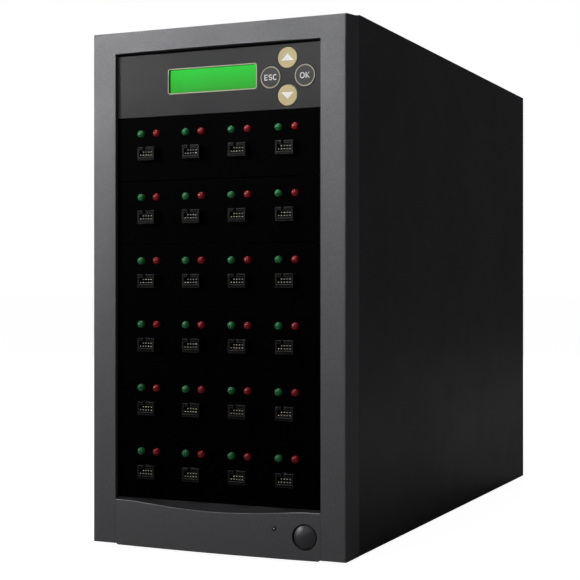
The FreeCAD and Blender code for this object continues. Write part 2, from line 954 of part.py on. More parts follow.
def button_stem_end():
    return s.lower_depth + s.button_flange_depth + s.plunger_reach / 2


def power_button():
    """A domed cap with a retaining flange behind the sleeve and a stem on the switch."""
    x, z = s.button_x, s.button_z
    flange_back = s.lower_depth + s.button_flange_depth
    front = -s.button_dome
    cap = rod(x, front, z, s.button_radius, flange_back - front)
    reach = s.button_radius + s.button_flange
    flange = rod(x, s.lower_depth, z, reach, s.button_flange_depth)
    wall = s.button_wall
    hollow = rod(x, wall, z, s.button_radius - wall, flange_back - wall)
    stem = rod(x, wall, z, s.button_stem_radius, button_stem_end() - wall)
    blank = fused([cut(fused([cap, flange]), hollow), stem])
    sub_part(domed(blank, x, front, z, s.button_radius, s.button_dome), "power_button")


def switch_plunger():
    start = button_stem_end()
    end = s.bezel_depth + s.switch_flange_depth
    bar = rod(s.button_x, start, s.button_z, s.plunger_radius, end - start)
    sub_part(bar, "switch_plunger")


def power_switch():
    """The push switch, flanged on to the front plate's front face."""
    half = s.switch_size / 2
    wide = half + s.switch_flange
    front = s.bezel_depth - s.switch_flange_depth
    barrel = box(
        s.button_x - half, front, s.button_z - half, s.switch_size, s.switch_length, s.switch_size
    )
    flange = box(
        s.button_x - wide, front, s.button_z - half, 2 * wide, s.switch_flange_depth, s.switch_size
    )
    depth = 2 * s.switch_flange_depth + s.button_travel + s.plunger_clearance
    bore = rod(s.button_x, front, s.button_z, s.plunger_radius + s.plunger_clearance, depth)
    sub_part(cut(fused([barrel, flange]), bore), "power_switch")


def power_lamp():
    front = s.power_lamp_sink - s.front_bulge
    end = s.lower_depth - s.lower_gap
    x, z, radius = s.power_lamp_x, s.power_lamp_z, s.power_lamp_radius
    lamp = domed(rod(x, front, z, radius, end - front), x, front, z, radius, s.power_lamp_dome)
    sub_part(lamp, "power_lamp")


# ---- panels over the bays --------------------------------------------------------------------


def bay_panel_blank(label, level):
    """A plastic panel over the bay at this level, with an ear along each bay rail."""
    body = new_body(label, y=s.panel_recess, z=s.bay_floor + level * s.bay_pitch)
    face = new_sketch(body)
    margin = s.panel_gap / 2
    rectangle(face, -PANEL_HALF, PANEL_HALF, margin, s.bay_pitch - margin)
    pad(body, face, s.panel_thickness, backward=True)
    ears = new_sketch(body, offset=-s.panel_thickness)
    low = (s.bay_pitch - s.ear_height) / 2
    high = (s.bay_pitch + s.ear_height) / 2
    inner = PANEL_HALF - s.ear_thickness
    rectangle(ears, inner, PANEL_HALF, low, high)
    rectangle(ears, -PANEL_HALF, -inner, low, high)
    pad(body, ears, s.ear_length, backward=True)
    return body


def first_port():
    """The middle of the leftmost port."""
    return (1 - s.ports_per_row) * s.port_pitch / 2


def bay_panel(number, level):
    """A panel with four header cut-outs, four pairs of lamp holes and ribs for its board."""
    body = bay_panel_blank(f"bay_panel_{number}", level)
    ribs = new_sketch(body, offset=-s.panel_thickness)
    low = (s.bay_pitch - s.port_board_height) / 2
    high = (s.bay_pitch + s.port_board_height) / 2
    outer = s.port_board_width / 2
    rectangle(ribs, outer - s.board_rib_width, outer, low, high)
    rectangle(ribs, -outer, -outer + s.board_rib_width, low, high)
    pad(body, ribs, s.board_stand, backward=True)
    openings = new_sketch(body)
    x = first_port()
    middle = s.bay_pitch - s.port_drop
    half_width = s.header_width / 2 + s.header_gap
    half_height = s.header_height / 2 + s.header_gap
    rectangle(openings, x - half_width, x + half_width, middle - half_height, middle + half_height)
    for side in (-1, 1):
        lamp_x = x + side * s.lamp_spacing / 2
        hole = s.lamp_radius + s.lamp_gap
        many_sided(openings, lamp_x, s.bay_pitch - s.lamp_drop, hole, SMALL_SIDES)
    port = pocket(body, openings, s.panel_thickness)
    row_pattern(body, [port], "X_Axis", s.ports_per_row, s.port_pitch)


def port_board(number, level):
    z = s.bay_floor + level * s.bay_pitch + (s.bay_pitch - s.port_board_height) / 2
    width = s.port_board_width
    board = box(-width / 2, BOARD_FRONT, z, width, s.board_thickness, s.port_board_height)
    chip = box(
        -width / 2 + s.board_rib_width * 2,
        BOARD_FRONT + s.board_thickness,
        z + s.port_board_height / 2,
        s.hub_chip_size,
        s.hub_chip_height,
        s.hub_chip_size,
    )
    sub_part(fused([board, chip]), f"port_board_{number}")


def port_headers(number, level):
    """One shrouded header for each port of a row, with a keying notch in its upper wall."""
    middle = s.bay_floor + (level + 1) * s.bay_pitch - s.port_drop
    body = new_body(f"port_headers_{number}", x=first_port(), z=middle)
    half_width, half_height = s.header_width / 2, s.header_height / 2
    mouth = s.panel_recess - s.header_reach
    shell = new_sketch(body, offset=-BOARD_FRONT)
    rectangle(shell, -half_width, half_width, -half_height, half_height)
    block = pad(body, shell, BOARD_FRONT - mouth)
    inside = new_sketch(body, offset=-mouth)
    inner_width = half_width - s.header_end_wall
    inner_height = half_height - s.header_wall
    rectangle(inside, -inner_width, inner_width, -inner_height, inner_height)
    well = pocket(body, inside, BOARD_FRONT - mouth - s.header_floor)
    key = new_sketch(body, offset=-mouth)
    notch_left = -s.notch_width
    rectangle(key, notch_left, 0, inner_height - s.header_wall / 4, half_height + s.header_wall)
    notch = pocket(body, key, s.notch_depth)
    row_pattern(body, [block, well, notch], "X_Axis", s.ports_per_row, s.port_pitch)


def header_pins():
    """Nine square pins in every header: a full lower row and an upper row that lacks its first."""
    middle = s.bay_floor + s.bay_pitch - s.port_drop
    body = new_body("header_pins", x=first_port(), z=middle)
    tip = s.panel_recess - s.header_reach + s.pin_recess
    root = BOARD_FRONT - s.header_floor
    sketch = new_sketch(body, offset=-root)
    half = s.pin_width / 2
    columns = int(s.pin_columns.value)
    for row, first in ((-0.5, 0), (0.5, 1)):
        for column in range(first, columns):
            x = (column - (s.pin_columns - 1) / 2) * s.pin_pitch
            z = row * s.pin_pitch
            rectangle(sketch, x - half, x + half, z - half, z + half)
    pins = pad(body, sketch, root - tip)
    repeat = row_pattern(body, [pins], "X_Axis", s.ports_per_row, s.port_pitch)
    both_ways(repeat, body, s.port_rows, s.bay_pitch)


def both_ways(pattern, body, count, spacing):
    """Makes a row pattern repeat upward too."""
    pattern.Direction2 = (origin_part(body, "Z_Axis"), [""])
    bind(pattern, "Length2", (count - 1) * spacing)
    bind(pattern, "Occurrences2", count)


def port_lamps(label, side):
    """The lamps of one colour, one beside each port, seated on the port boards."""
    level = s.bay_floor + s.bay_pitch - s.lamp_drop
    body = new_body(label, x=first_port() + side * s.lamp_spacing / 2, z=level)
    tip = s.panel_recess - s.lamp_reach
    section = new_sketch(body, offset=-BOARD_FRONT)
    many_sided(section, 0, 0, s.lamp_radius, SMALL_SIDES)
    lamp = pad(body, section, BOARD_FRONT - tip)
    repeat = row_pattern(body, [lamp], "X_Axis", s.ports_per_row, s.port_pitch)
    both_ways(repeat, body, s.port_rows, s.bay_pitch)


# ---- control panel ---------------------------------------------------------------------------


def key_places():
    """Each key's name, its offset from the middle of the cluster and its radius."""
    reach = s.key_offset
    return [
        ("key_up", 0, reach, s.arrow_key_radius),
        ("key_down", 0, -reach, s.arrow_key_radius),
        ("key_escape", -reach, 0, s.word_key_radius),
        ("key_ok", reach, 0, s.word_key_radius),
    ]


def control_panel():
    body = bay_panel_blank("control_panel", s.port_rows)
    middle = s.bay_pitch / 2
    openings = new_sketch(body)
    half_width, half_height = s.screen_width / 2, s.screen_height / 2
    x, z, r = s.screen_x, middle + s.screen_rise, s.screen_corner
    left, right, low, high = x - half_width, x + half_width, z - half_height, z + half_height
    rise = r * (1 - math.sqrt(0.5))
    outline(
        openings,
        [
            (left + r, low),
            (right - r, low),
            (right, low + r),
            (right, high - r),
            (right - r, high),
            (left + r, high),
            (left, high - r),
            (left, low + r),
        ],
        arcs={1: rise, 3: rise, 5: rise, 7: rise},
    )
    for _, along, up, radius in key_places():
        many_sided(openings, s.keys_x + along, middle + up, radius + s.key_gap, KEY_SIDES)
    pocket(body, openings, s.panel_thickness)
    pillars = new_sketch(body, offset=-s.panel_thickness)
    reach, half = s.key_pillar_offset, s.key_pillar / 2
    for side in (-1, 1):
        for updown in (-1, 1):
            cx, cz = s.keys_x + side * reach, middle + updown * reach
            rectangle(pillars, cx - half, cx + half, cz - half, cz + half)
    pad(body, pillars, KEY_BOARD_FRONT - PANEL_BACK, backward=True)


def key(label, along, up, radius):
    """A key cap, its retaining flange behind the panel and the post that works its switch."""
    body = new_body(label, x=s.keys_x + along, z=CONTROL_MIDDLE + up)
    front = s.panel_recess - s.key_proud
    flange_front = PANEL_BACK + s.key_flange_gap
    flange_back = flange_front + s.key_flange_depth
    cap = new_sketch(body, offset=-front)
    many_sided(cap, 0, 0, radius, KEY_SIDES)
    pad(body, cap, flange_back - front, backward=True)
    flange = new_sketch(body, offset=-flange_front)
    many_sided(flange, 0, 0, radius + s.key_flange, KEY_SIDES)
    pad(body, flange, s.key_flange_depth, backward=True)
    post = new_sketch(body, offset=-flange_back)
    many_sided(post, 0, 0, s.key_post_radius, SMALL_SIDES)
    pad(body, post, s.key_post_length, backward=True)


def key_switches():
    half = s.key_switch_size / 2
    depth = s.key_switch_overlap + s.key_travel + s.key_well_spare
    switches = []
    for _, along, up, _ in key_places():
        x, z = s.keys_x + along, CONTROL_MIDDLE + up
        size = s.key_switch_size
        block = box(x - half, KEY_SWITCH_FRONT, z - half, size, s.key_switch_height, size)
        reach = s.key_post_radius + s.key_well_gap
        well = prism(x, KEY_SWITCH_FRONT, z, reach, depth, SMALL_SIDES)
        switches.append(cut(block, well))
    group("key_switches", switches)


def key_board():
    half = s.key_board_size / 2
    board = box(
        s.keys_x - half,
        KEY_BOARD_FRONT,
        CONTROL_MIDDLE - half,
        s.key_board_size,
        s.board_thickness,
        s.key_board_size,
    )
    sub_part(board, "key_board")


def screen():
    """The display module behind its window, and the lit glass in the module's frame."""
    middle = CONTROL_MIDDLE + s.screen_rise
    glass_width = s.screen_width + 2 * s.glass_margin
    glass_height = s.screen_height + 2 * s.glass_margin
    width, height = s.screen_frame_width, s.screen_frame_height
    frame = box(
        s.screen_x - width / 2, PANEL_BACK, middle - height / 2, width, s.screen_frame_depth, height
    )
    board = box(
        s.screen_x - width / 2,
        PANEL_BACK + s.screen_frame_depth,
        middle - s.screen_board_height / 2,
        width,
        s.board_thickness,
        s.screen_board_height,
    )
    recess = box(
        s.screen_x - glass_width / 2,
        PANEL_BACK,
        middle - glass_height / 2,
        glass_width,
        s.glass_step + s.glass_depth,
        glass_height,
    )
    sub_part(cut(fused([frame, board]), recess), "screen_module")
    glass = box(
        s.screen_x - glass_width / 2,
        PANEL_BACK + s.glass_step,
        middle - glass_height / 2,
        glass_width,
        s.glass_depth,
        glass_height,
    )
    sub_part(glass, "screen_glass")


# ---- controller and cables -------------------------------------------------------------------


def controller_board():
    width = s.controller_width
    board = box(
        -width / 2,
        s.controller_start,
        CONTROLLER_LOW,
        width,
        s.controller_length,
        s.board_thickness,
    )
    chip = box(
        -s.controller_chip / 2,
        s.controller_start + s.controller_length / 2,
        CONTROLLER_TOP,
        s.controller_chip,
        s.controller_chip,
        s.controller_chip_height,
    )
    sub_part(fused([board, chip]), "controller_board")


def wiring_harness():
    """The ribbon behind the port boards and the lead from the power supply."""
    strip = s.ribbon_thickness
    board_back = BOARD_FRONT + s.board_thickness
    low = s.bay_floor + s.bay_pitch / 2
    half = s.ribbon_width / 2
    fall = box(-half, board_back, low, s.ribbon_width, strip, CONTROLLER_TOP + strip - low)
    length = s.controller_start + s.ribbon_lap - board_back
    run = box(-half, board_back, CONTROLLER_TOP, s.ribbon_width, length, strip)
    ribbon = fused([fall, run])
    psu_front = REAR_INSIDE - s.psu_depth
    start = s.controller_start + s.controller_length - s.ribbon_lap
    radius = s.power_lead_radius
    x = s.controller_width / 4
    lead = rod(x, start, CONTROLLER_TOP + radius, radius, psu_front - start)
    group("wiring_harness", [ribbon, lead])


# ---- power supply ----------------------------------------------------------------------------


def psu_tray():
    """The lower half of the power supply's case: floor, front wall and rear wall."""
    half = s.psu_width / 2 - s.psu_gauge
    top = s.psu_height - s.psu_gauge
    body = new_body("psu_tray", y=REAR_INSIDE - s.psu_depth, z=PSU_LOW)
    side = new_sketch(body, "YZ_Plane", -half)
    gauge, depth = s.psu_gauge, s.psu_depth
    outline(
        side,
        [
            (0, 0),
            (depth, 0),
            (depth, top),
            (depth - gauge, top),
            (depth - gauge, gauge),
            (gauge, gauge),
            (gauge, top),
            (0, top),
        ],
    )
    pad(body, side, 2 * half)
    middle = s.psu_height / 2
    holes = new_sketch(body, offset=-depth)
    inlet_z = middle + s.inlet_rise
    rectangle(
        holes,
        s.inlet_x - s.inlet_body_width / 2,
        s.inlet_x + s.inlet_body_width / 2,
        inlet_z - s.inlet_body_height / 2,
        inlet_z + s.inlet_body_height / 2,
    )
    rocker_z = middle - s.rocker_drop
    rectangle(
        holes,
        s.inlet_x - s.rocker_body_width / 2,
        s.inlet_x + s.rocker_body_width / 2,
        rocker_z - s.rocker_body_height / 2,
        rocker_z + s.rocker_body_height / 2,
    )
    pocket(body, holes, gauge, forward=True)
    slots = new_sketch(body, offset=-depth)
    first = middle - (s.psu_slot_count - 1) * s.psu_slot_pitch / 2
    rectangle(
        slots,
        s.psu_fan_x - s.psu_slot_width / 2,
        s.psu_fan_x + s.psu_slot_width / 2,
        first - s.psu_slot_height / 2,
        first + s.psu_slot_height / 2,
    )
    slot = pocket(body, slots, gauge, forward=True)
    row_pattern(body, [slot], "Z_Axis", s.psu_slot_count, s.psu_slot_pitch)


def psu_cover():
    half = s.psu_width / 2
    inner = half - s.psu_gauge
    top = s.psu_height
    body = new_body("psu_cover", y=REAR_INSIDE - s.psu_depth, z=PSU_LOW)
    profile = new_sketch(body)
    outline(
        profile,
        [
            (-half, 0),
            (-inner, 0),
            (-inner, top - s.psu_gauge),
            (inner, top - s.psu_gauge),
            (inner, 0),
            (half, 0),
            (half, top),
            (-half, top),
        ],
    )
    pad(body, profile, s.psu_depth, backward=True)


def psu_board():
    """The power supply's board on its posts, with its transformer and heatsinks."""
    y = REAR_INSIDE - s.psu_depth + s.psu_board_margin
    width = s.psu_width - 2 * s.psu_board_margin
    low = PSU_LOW + s.psu_gauge
    board_low = low + s.psu_board_stand
    board_top = board_low + s.board_thickness
    left = -width / 2
    pieces = [box(left, y, board_low, width, s.psu_board_length, s.board_thickness)]
    post = s.psu_board_stand
    for x in (left, -left - post):
        for back in (y, y + s.psu_board_length - post):
            pieces.append(box(x, back, low, post, post, post))
    size = s.transformer_size
    pieces.append(box(-size / 2, y + size, board_top, size, size, size))
    for x in (left + size, -left - size):
        pieces.append(
            box(x, y + size / 2, board_top, s.heatsink_thickness, 2 * size, s.heatsink_height)
        )
    sub_part(fused(pieces), "psu_board")


def psu_inlet():
    """A C14 inlet: keyed well, three blades and a flange on the power supply's rear wall."""
    z = PSU_MIDDLE + s.inlet_rise
    body = new_body("psu_inlet", x=s.inlet_x, y=REAR_INSIDE, z=z)
    rim = new_sketch(body)
    half_width, half_height = s.inlet_flange_width / 2, s.inlet_flange_height / 2
    rectangle(rim, -half_width, half_width, -half_height, half_height)
    pad(body, rim, s.inlet_flange_depth, backward=True)
    shell = new_sketch(body)
    half_width, half_height = s.inlet_body_width / 2, s.inlet_body_height / 2
    rectangle(shell, -half_width, half_width, -half_height, half_height)
    pad(body, shell, s.inlet_body_depth)
    well = new_sketch(body, offset=-s.inlet_flange_depth)
    half_width, half_height = s.inlet_mouth_width / 2, s.inlet_mouth_height / 2
    corner = s.inlet_corner
    outline(
        well,
        [
            (-half_width, -half_height),
            (half_width, -half_height),
            (half_width, half_height - corner),
            (half_width - corner, half_height),
            (-half_width + corner, half_height),
            (-half_width, half_height - corner),
        ],
    )
    pocket(body, well, s.inlet_mouth_depth, forward=True)
    blades = new_sketch(body, offset=s.inlet_mouth_depth - s.inlet_flange_depth)
    wide, thin = s.inlet_pin_width / 2, s.inlet_pin_thickness / 2
    rectangle(blades, -thin, thin, s.inlet_earth_rise - wide, s.inlet_earth_rise + wide)
    for side in (-1, 1):
        x = side * s.inlet_pin_spread
        rectangle(blades, x - thin, x + thin, -s.inlet_drop - 2 * wide, -s.inlet_drop)
    pad(body, blades, s.inlet_pin_length, backward=True)


def rocker_z():
    return PSU_MIDDLE - s.rocker_drop


def rocker_pivot_y():
    return REAR_INSIDE + s.rocker_flange_depth - s.rocker_pivot_inset


def psu_switch_frame():
    """The rocker's socket, with a bearing hole through each side wall."""
    x, z, y = s.inlet_x, rocker_z(), REAR_INSIDE
    width, height = s.rocker_frame_width, s.rocker_frame_height
    flange = box(x - width / 2, y, z - height / 2, width, s.rocker_flange_depth, height)
    width, height, depth = s.rocker_body_width, s.rocker_body_height, s.rocker_body_depth
    shell = box(x - width / 2, y - depth, z - height / 2, width, depth, height)
    width, height, depth = s.rocker_mouth_width, s.rocker_mouth_height, s.rocker_mouth_depth
    front = y + s.rocker_flange_depth - depth
    well = box(x - width / 2, front, z - height / 2, width, depth, height)
    bore = doc.addObject("Part::Cylinder", "Rod")
    bind(bore, "Radius", s.rocker_pivot_radius + s.rocker_pivot_gap)
    bind(bore, "Height", s.rocker_body_height)
    place(bore, x, rocker_pivot_y(), z - s.rocker_body_height / 2)
    sub_part(cut(cut(fused([flange, shell]), well), bore), "psu_switch_frame")


def psu_rocker():
    """The rocker, tipped to its off side on two short pivots."""
    body = doc.addObject("PartDesign::Body", "psu_rocker")
    body.Placement = Placement(Vector(0, 0, 0), Rotation(Vector(0, 0, 1), 0))
    place(body, s.inlet_x, rocker_pivot_y(), rocker_z())
    bind(body, ".Placement.Rotation.Angle", s.rocker_tilt)
    sub_part(body, "psu_rocker")
    half = s.rocker_thickness / 2
    profile = new_sketch(body, "XY_Plane", -half)
    reach, tip = s.rocker_half_length, s.rocker_tip_height
    outline(
        profile,
        [
            (-reach, -s.rocker_pivot_radius),
            (0, -s.rocker_keel),
            (reach, -s.rocker_pivot_radius),
            (reach, tip),
            (0, s.rocker_middle_height),
            (-reach, tip),
        ],
    )
    pad(body, profile, s.rocker_thickness)
    pivots = new_sketch(body, "XY_Plane", -half - s.rocker_pivot_reach)
    circle(pivots, 0, 0, s.rocker_pivot_radius)
    pad(body, pivots, s.rocker_thickness + 2 * s.rocker_pivot_reach)


# ---- fans ------------------------------------------------------------------------------------


def fan_frame(label, x, back, z):
    """An axial fan's frame whose struts carry the bearing at the outlet side."""
    body = new_body(label, x=x, y=back, z=z)
    half = s.fan_size / 2
    square = new_sketch(body)
    rectangle(square, -half, half, -half, half)
    many_sided(square, 0, 0, s.fan_bore, FAN_SIDES)
    pad(body, square, s.fan_depth)
    struts = new_sketch(body)
    bar = s.fan_strut_width / 2
    reach = s.fan_bore + bar
    outline(
        struts,
        [
            (-reach, -bar),
            (-bar, -bar),
            (-bar, -reach),
            (bar, -reach),
            (bar, -bar),
            (reach, -bar),
            (reach, bar),
            (bar, bar),
            (bar, reach),
            (-bar, reach),
            (-bar, bar),
            (-reach, bar),
        ],
    )
    pad(body, struts, s.fan_strut_depth)
    mount = new_sketch(body)
    many_sided(mount, 0, 0, s.fan_mount_radius, RING_SIDES)
    pad(body, mount, s.fan_strut_depth)
    bearing = new_sketch(body)
    many_sided(bearing, 0, 0, s.fan_bearing_radius, SMALL_SIDES)
    pad(body, bearing, s.fan_strut_depth + s.fan_bearing_length)
    bore = new_sketch(body, offset=s.fan_strut_depth + s.fan_bearing_length)
    circle(bore, 0, 0, s.fan_shaft_radius + s.fan_shaft_gap)
    pocket(body, bore, s.fan_bearing_length)
    return body


def fan_rotor(label, x, back, z):
    """A cup-shaped hub on its shaft with raked blades round it."""
    front = back - s.fan_depth + s.rotor_inset
    body = new_body(label, x=x, y=front, z=z)
    hub = new_sketch(body)
    many_sided(hub, 0, 0, s.rotor_hub_radius, FAN_SIDES)
    pad(body, hub, s.rotor_hub_length, backward=True)
    hollow = new_sketch(body, offset=-s.rotor_hub_length)
    many_sided(hollow, 0, 0, s.rotor_hub_radius - s.rotor_hub_wall, RING_SIDES)
    pocket(body, hollow, s.rotor_hub_length - s.rotor_hub_face, forward=True)
    shaft = new_sketch(body, offset=-s.rotor_hub_face)
    circle(shaft, 0, 0, s.fan_shaft_radius)
    pad(body, shaft, s.fan_shaft_length, backward=True)
    profile = new_sketch(body, "YZ_Plane", s.blade_root)
    half_rake, half_chord = s.blade_rake / 2, s.blade_chord / 2
    front_edge, back_edge = s.blade_centre - half_rake, s.blade_centre + half_rake
    outline(
        profile,
        [
            (front_edge, -half_chord),
            (front_edge + s.blade_thickness, -half_chord),
            (back_edge, half_chord),
            (back_edge - s.blade_thickness, half_chord),
        ],
    )
    blade = pad(body, profile, s.rotor_reach - s.blade_root)
    ring = body.newObject("PartDesign::PolarPattern", label + "_blades")
    ring.Originals = [blade]
    ring.Axis = (origin_part(body, "Y_Axis"), [""])
    ring.Angle = 360
    bind(ring, "Occurrences", s.blade_count)
    body.Tip = ring


def rear_fan_guard():
    """A finger guard: rings on two crossing bars that end in the screw eyelets."""
    body = new_body("rear_fan_guard", y=REAR_OUTSIDE, z=REAR_FAN_Z)
    for number in range(int(s.guard_ring_count.value)):
        ring = new_sketch(body)
        radius = s.guard_outer_radius - number * s.guard_ring_step
        many_sided(ring, 0, 0, radius, RING_SIDES)
        many_sided(ring, 0, 0, radius - s.guard_bar, RING_SIDES)
        pad(body, ring, s.guard_thickness, backward=True)
    reach = s.fan_hole_spacing / 2
    nudge = s.guard_bar / 2 * math.sqrt(0.5)
    for lean in (-1, 1):
        bar = new_sketch(body)
        outline(
            bar,
            [
                (-reach - nudge, lean * (-reach + nudge)),
                (-reach + nudge, lean * (-reach - nudge)),
                (reach + nudge, lean * (reach - nudge)),
                (reach - nudge, lean * (reach + nudge)),
            ],
        )
        pad(body, bar, s.guard_thickness, backward=True)
    eyelets = new_sketch(body)
    for x in (-reach, reach):
        for z in (-reach, reach):
            many_sided(eyelets, x, z, s.guard_eyelet_radius, SMALL_SIDES)
    pad(body, eyelets, s.guard_thickness, backward=True)


# ---- the whole object ------------------------------------------------------------------------


def build():
    base_pan()
    rear_panel()
    front_plate()
    bay_rail("bay_rail_left", -1)
    bay_rail("bay_rail_right", 1)
    top_cover()
    side_panel("side_panel_left", -1)
    side_panel("side_panel_right", 1)
    rubber_feet()
    thumbscrews()
    chassis_screws()
    bezel_frame()
    lower_bezel()
    power_button()
    switch_plunger()
    power_switch()
    power_lamp()
    control_panel()
    screen()
    key_board()
    key_switches()
    for label, along, up, radius in key_places():
        key(label, along, up, radius)
    for number in range(1, ROWS + 1):
        level = ROWS - number
        bay_panel(number, level)
        port_board(number, level)
        port_headers(number, level)
    header_pins()
    port_lamps("green_lamps", -1)
    port_lamps("red_lamps", 1)
    controller_board()
    wiring_harness()
    psu_tray()
    psu_cover()
    psu_board()
    psu_inlet()
    psu_switch_frame()
    psu_rocker()
    fan_frame("psu_fan_frame", s.psu_fan_x, REAR_INSIDE - s.psu_gauge, PSU_MIDDLE)
    fan_rotor("psu_fan_rotor", s.psu_fan_x, REAR_INSIDE - s.psu_gauge, PSU_MIDDLE)
    fan_frame("rear_fan_frame", sized(0), REAR_INSIDE, REAR_FAN_Z)
    fan_rotor("rear_fan_rotor", sized(0), REAR_INSIDE, REAR_FAN_Z)
    rear_fan_guard()


def check():
    """Stops before anything is written if an object failed or a sub-part is not sound."""
    faults = []
    for thing in doc.Objects:
        if "Invalid" in thing.State or "Error" in thing.State:
            faults.append(f"{thing.Name}: {thing.State}")
    for part in PARTS:
        if part.Shape.isNull() or not part.Shape.isValid() or not part.Shape.Solids:
            faults.append(f"{part.Label}: no sound solid")
    if faults:
        raise RuntimeError("; ".join(faults))


def write():
    os.makedirs("parts", exist_ok=True)
    for part in PARTS:
        part.Shape.exportStep(f"parts/{part.Label}.step")
        volume = sum(solid.Volume for solid in part.Shape.Solids)
        print(f"{part.Label}: {len(part.Shape.Solids)} solids, {volume:.1f} mm3")


build()
doc.recompute()
check()
write()
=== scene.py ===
"""Looks for a tower drive duplicator: a black steel case, a grey bezel, six rows of ports."""

import json
from math import atan2, copysign, cos, hypot, pi, radians, sin, tan

import bmesh
import bpy
from mathutils import Matrix, Vector


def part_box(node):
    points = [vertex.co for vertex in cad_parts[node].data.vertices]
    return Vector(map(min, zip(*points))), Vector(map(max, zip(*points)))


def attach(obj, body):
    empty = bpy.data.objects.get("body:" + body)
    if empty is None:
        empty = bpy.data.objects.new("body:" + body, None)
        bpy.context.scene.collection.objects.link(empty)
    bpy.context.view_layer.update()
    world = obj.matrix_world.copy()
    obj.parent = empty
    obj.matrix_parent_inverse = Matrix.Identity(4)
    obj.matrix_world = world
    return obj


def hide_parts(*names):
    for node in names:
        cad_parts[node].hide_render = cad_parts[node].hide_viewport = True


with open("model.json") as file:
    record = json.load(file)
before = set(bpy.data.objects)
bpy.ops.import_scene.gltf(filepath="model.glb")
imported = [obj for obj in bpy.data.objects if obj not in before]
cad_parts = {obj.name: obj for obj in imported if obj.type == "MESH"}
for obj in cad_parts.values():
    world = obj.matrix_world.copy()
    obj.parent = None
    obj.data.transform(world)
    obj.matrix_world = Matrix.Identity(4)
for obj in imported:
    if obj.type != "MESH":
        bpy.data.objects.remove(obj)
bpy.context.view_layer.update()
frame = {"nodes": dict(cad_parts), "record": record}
NODES = frame["nodes"]
MM = 0.001
ROWS = 6
COLUMNS = 4
PORT_PITCH = 33.6 * MM
ROW_PITCH = 42.35 * MM
CORNERS = ((-1, -1), (-1, 1), (1, -1), (1, 1))
# a face whose normal lies this close to an axis is shaded flat
SQUARE = 0.99995
# every material by its name, which for a CAD piece is the name of its slot
LOOKS = {}


# ---- materials


def added(tree, kind, **values):
    """A new shader node; an underscore stands for a space in an input's name."""
    node = tree.nodes.new(f"ShaderNode{kind}")
    for name, value in values.items():
        node.inputs[name.replace("_", " ")].default_value = value
    return node


class Finish:
    """A node material built up from noise in the part's own frame."""

    def __init__(self, name):
        self.material = LOOKS[name] = bpy.data.materials.new(name)
        self.material.use_nodes = True
        self.tree = self.material.node_tree
        self.tree.nodes.clear()
        output = added(self.tree, "OutputMaterial")
        self.shader = added(self.tree, "BsdfPrincipled")
        self.put(self.shader.outputs["BSDF"], output.inputs["Surface"])
        self.place = added(self.tree, "TexCoord").outputs["Object"]

    def put(self, value, socket):
        """Links a node's output to a socket, or gives the socket a value."""
        if isinstance(value, bpy.types.NodeSocket):
            self.tree.links.new(value, socket)
        else:
            socket.default_value = value

    def surface(self, name, value):
        """Puts a value or a node's output on the shader's own socket of that name."""
        self.put(value, self.shader.inputs[name])

    def stretched(self, scale):
        """The part's coordinates, scaled apart along each axis."""
        mapping = added(self.tree, "Mapping", Scale=scale)
        self.put(self.place, mapping.inputs["Vector"])
        return mapping.outputs["Vector"]

    def noise(self, scale, detail=3.0, rough=0.5, place=None):
        node = added(self.tree, "TexNoise", Scale=scale, Detail=detail, Roughness=rough)
        self.put(place or self.place, node.inputs["Vector"])
        return node.outputs["Fac"]

    def span(self, source, low, high, start=0.3, end=0.7, smooth=False):
        """Maps start to end of a source on to low to high."""
        limits = {"From_Min": start, "From_Max": end, "To_Min": low, "To_Max": high}
        node = added(self.tree, "MapRange", **limits)
        if smooth:
            node.interpolation_type = "SMOOTHSTEP"
        self.put(source, node.inputs["Value"])
        return node.outputs["Result"]

    def math(self, operation, first, second):
        node = added(self.tree, "Math")
        node.operation = operation
        for socket, value in zip(node.inputs, (first, second)):
            self.put(value, socket)
        return node.outputs[0]

    def mix(self, factor, first, second):
        node = added(self.tree, "Mix")
        node.data_type = "RGBA"
        self.put(factor, node.inputs["Factor"])
        # its colour inputs and output have names that its other sockets have too
        for socket, value in zip(node.inputs[6:8], (first, second)):
            self.put((*value, 1.0) if isinstance(value, tuple) else value, socket)
        return node.outputs[2]

    def bump(self, height, distance, under=None):
        node = added(self.tree, "Bump", Distance=distance, Strength=1.0)
        self.put(height, node.inputs["Height"])
        if under is not None:
            self.put(under, node.inputs["Normal"])
        return node.outputs["Normal"]


def linear(value):
    """A display value from 0 to 255 as linear light."""
    share = value / 255
    return share / 12.92 if share <= 0.04045 else ((share + 0.055) / 1.055) ** 2.4


def colour(text):
    """Six hexadecimal digits as a linear colour."""
    return tuple(linear(int(text[i : i + 2], 16)) for i in (0, 2, 4))


def shades(base, share):
    """A darker and a lighter neighbour of a colour."""
    dark = tuple(c * (1 - share) for c in base)
    light = tuple(min(1.0, c * (1 + share)) for c in base)
    return dark, light


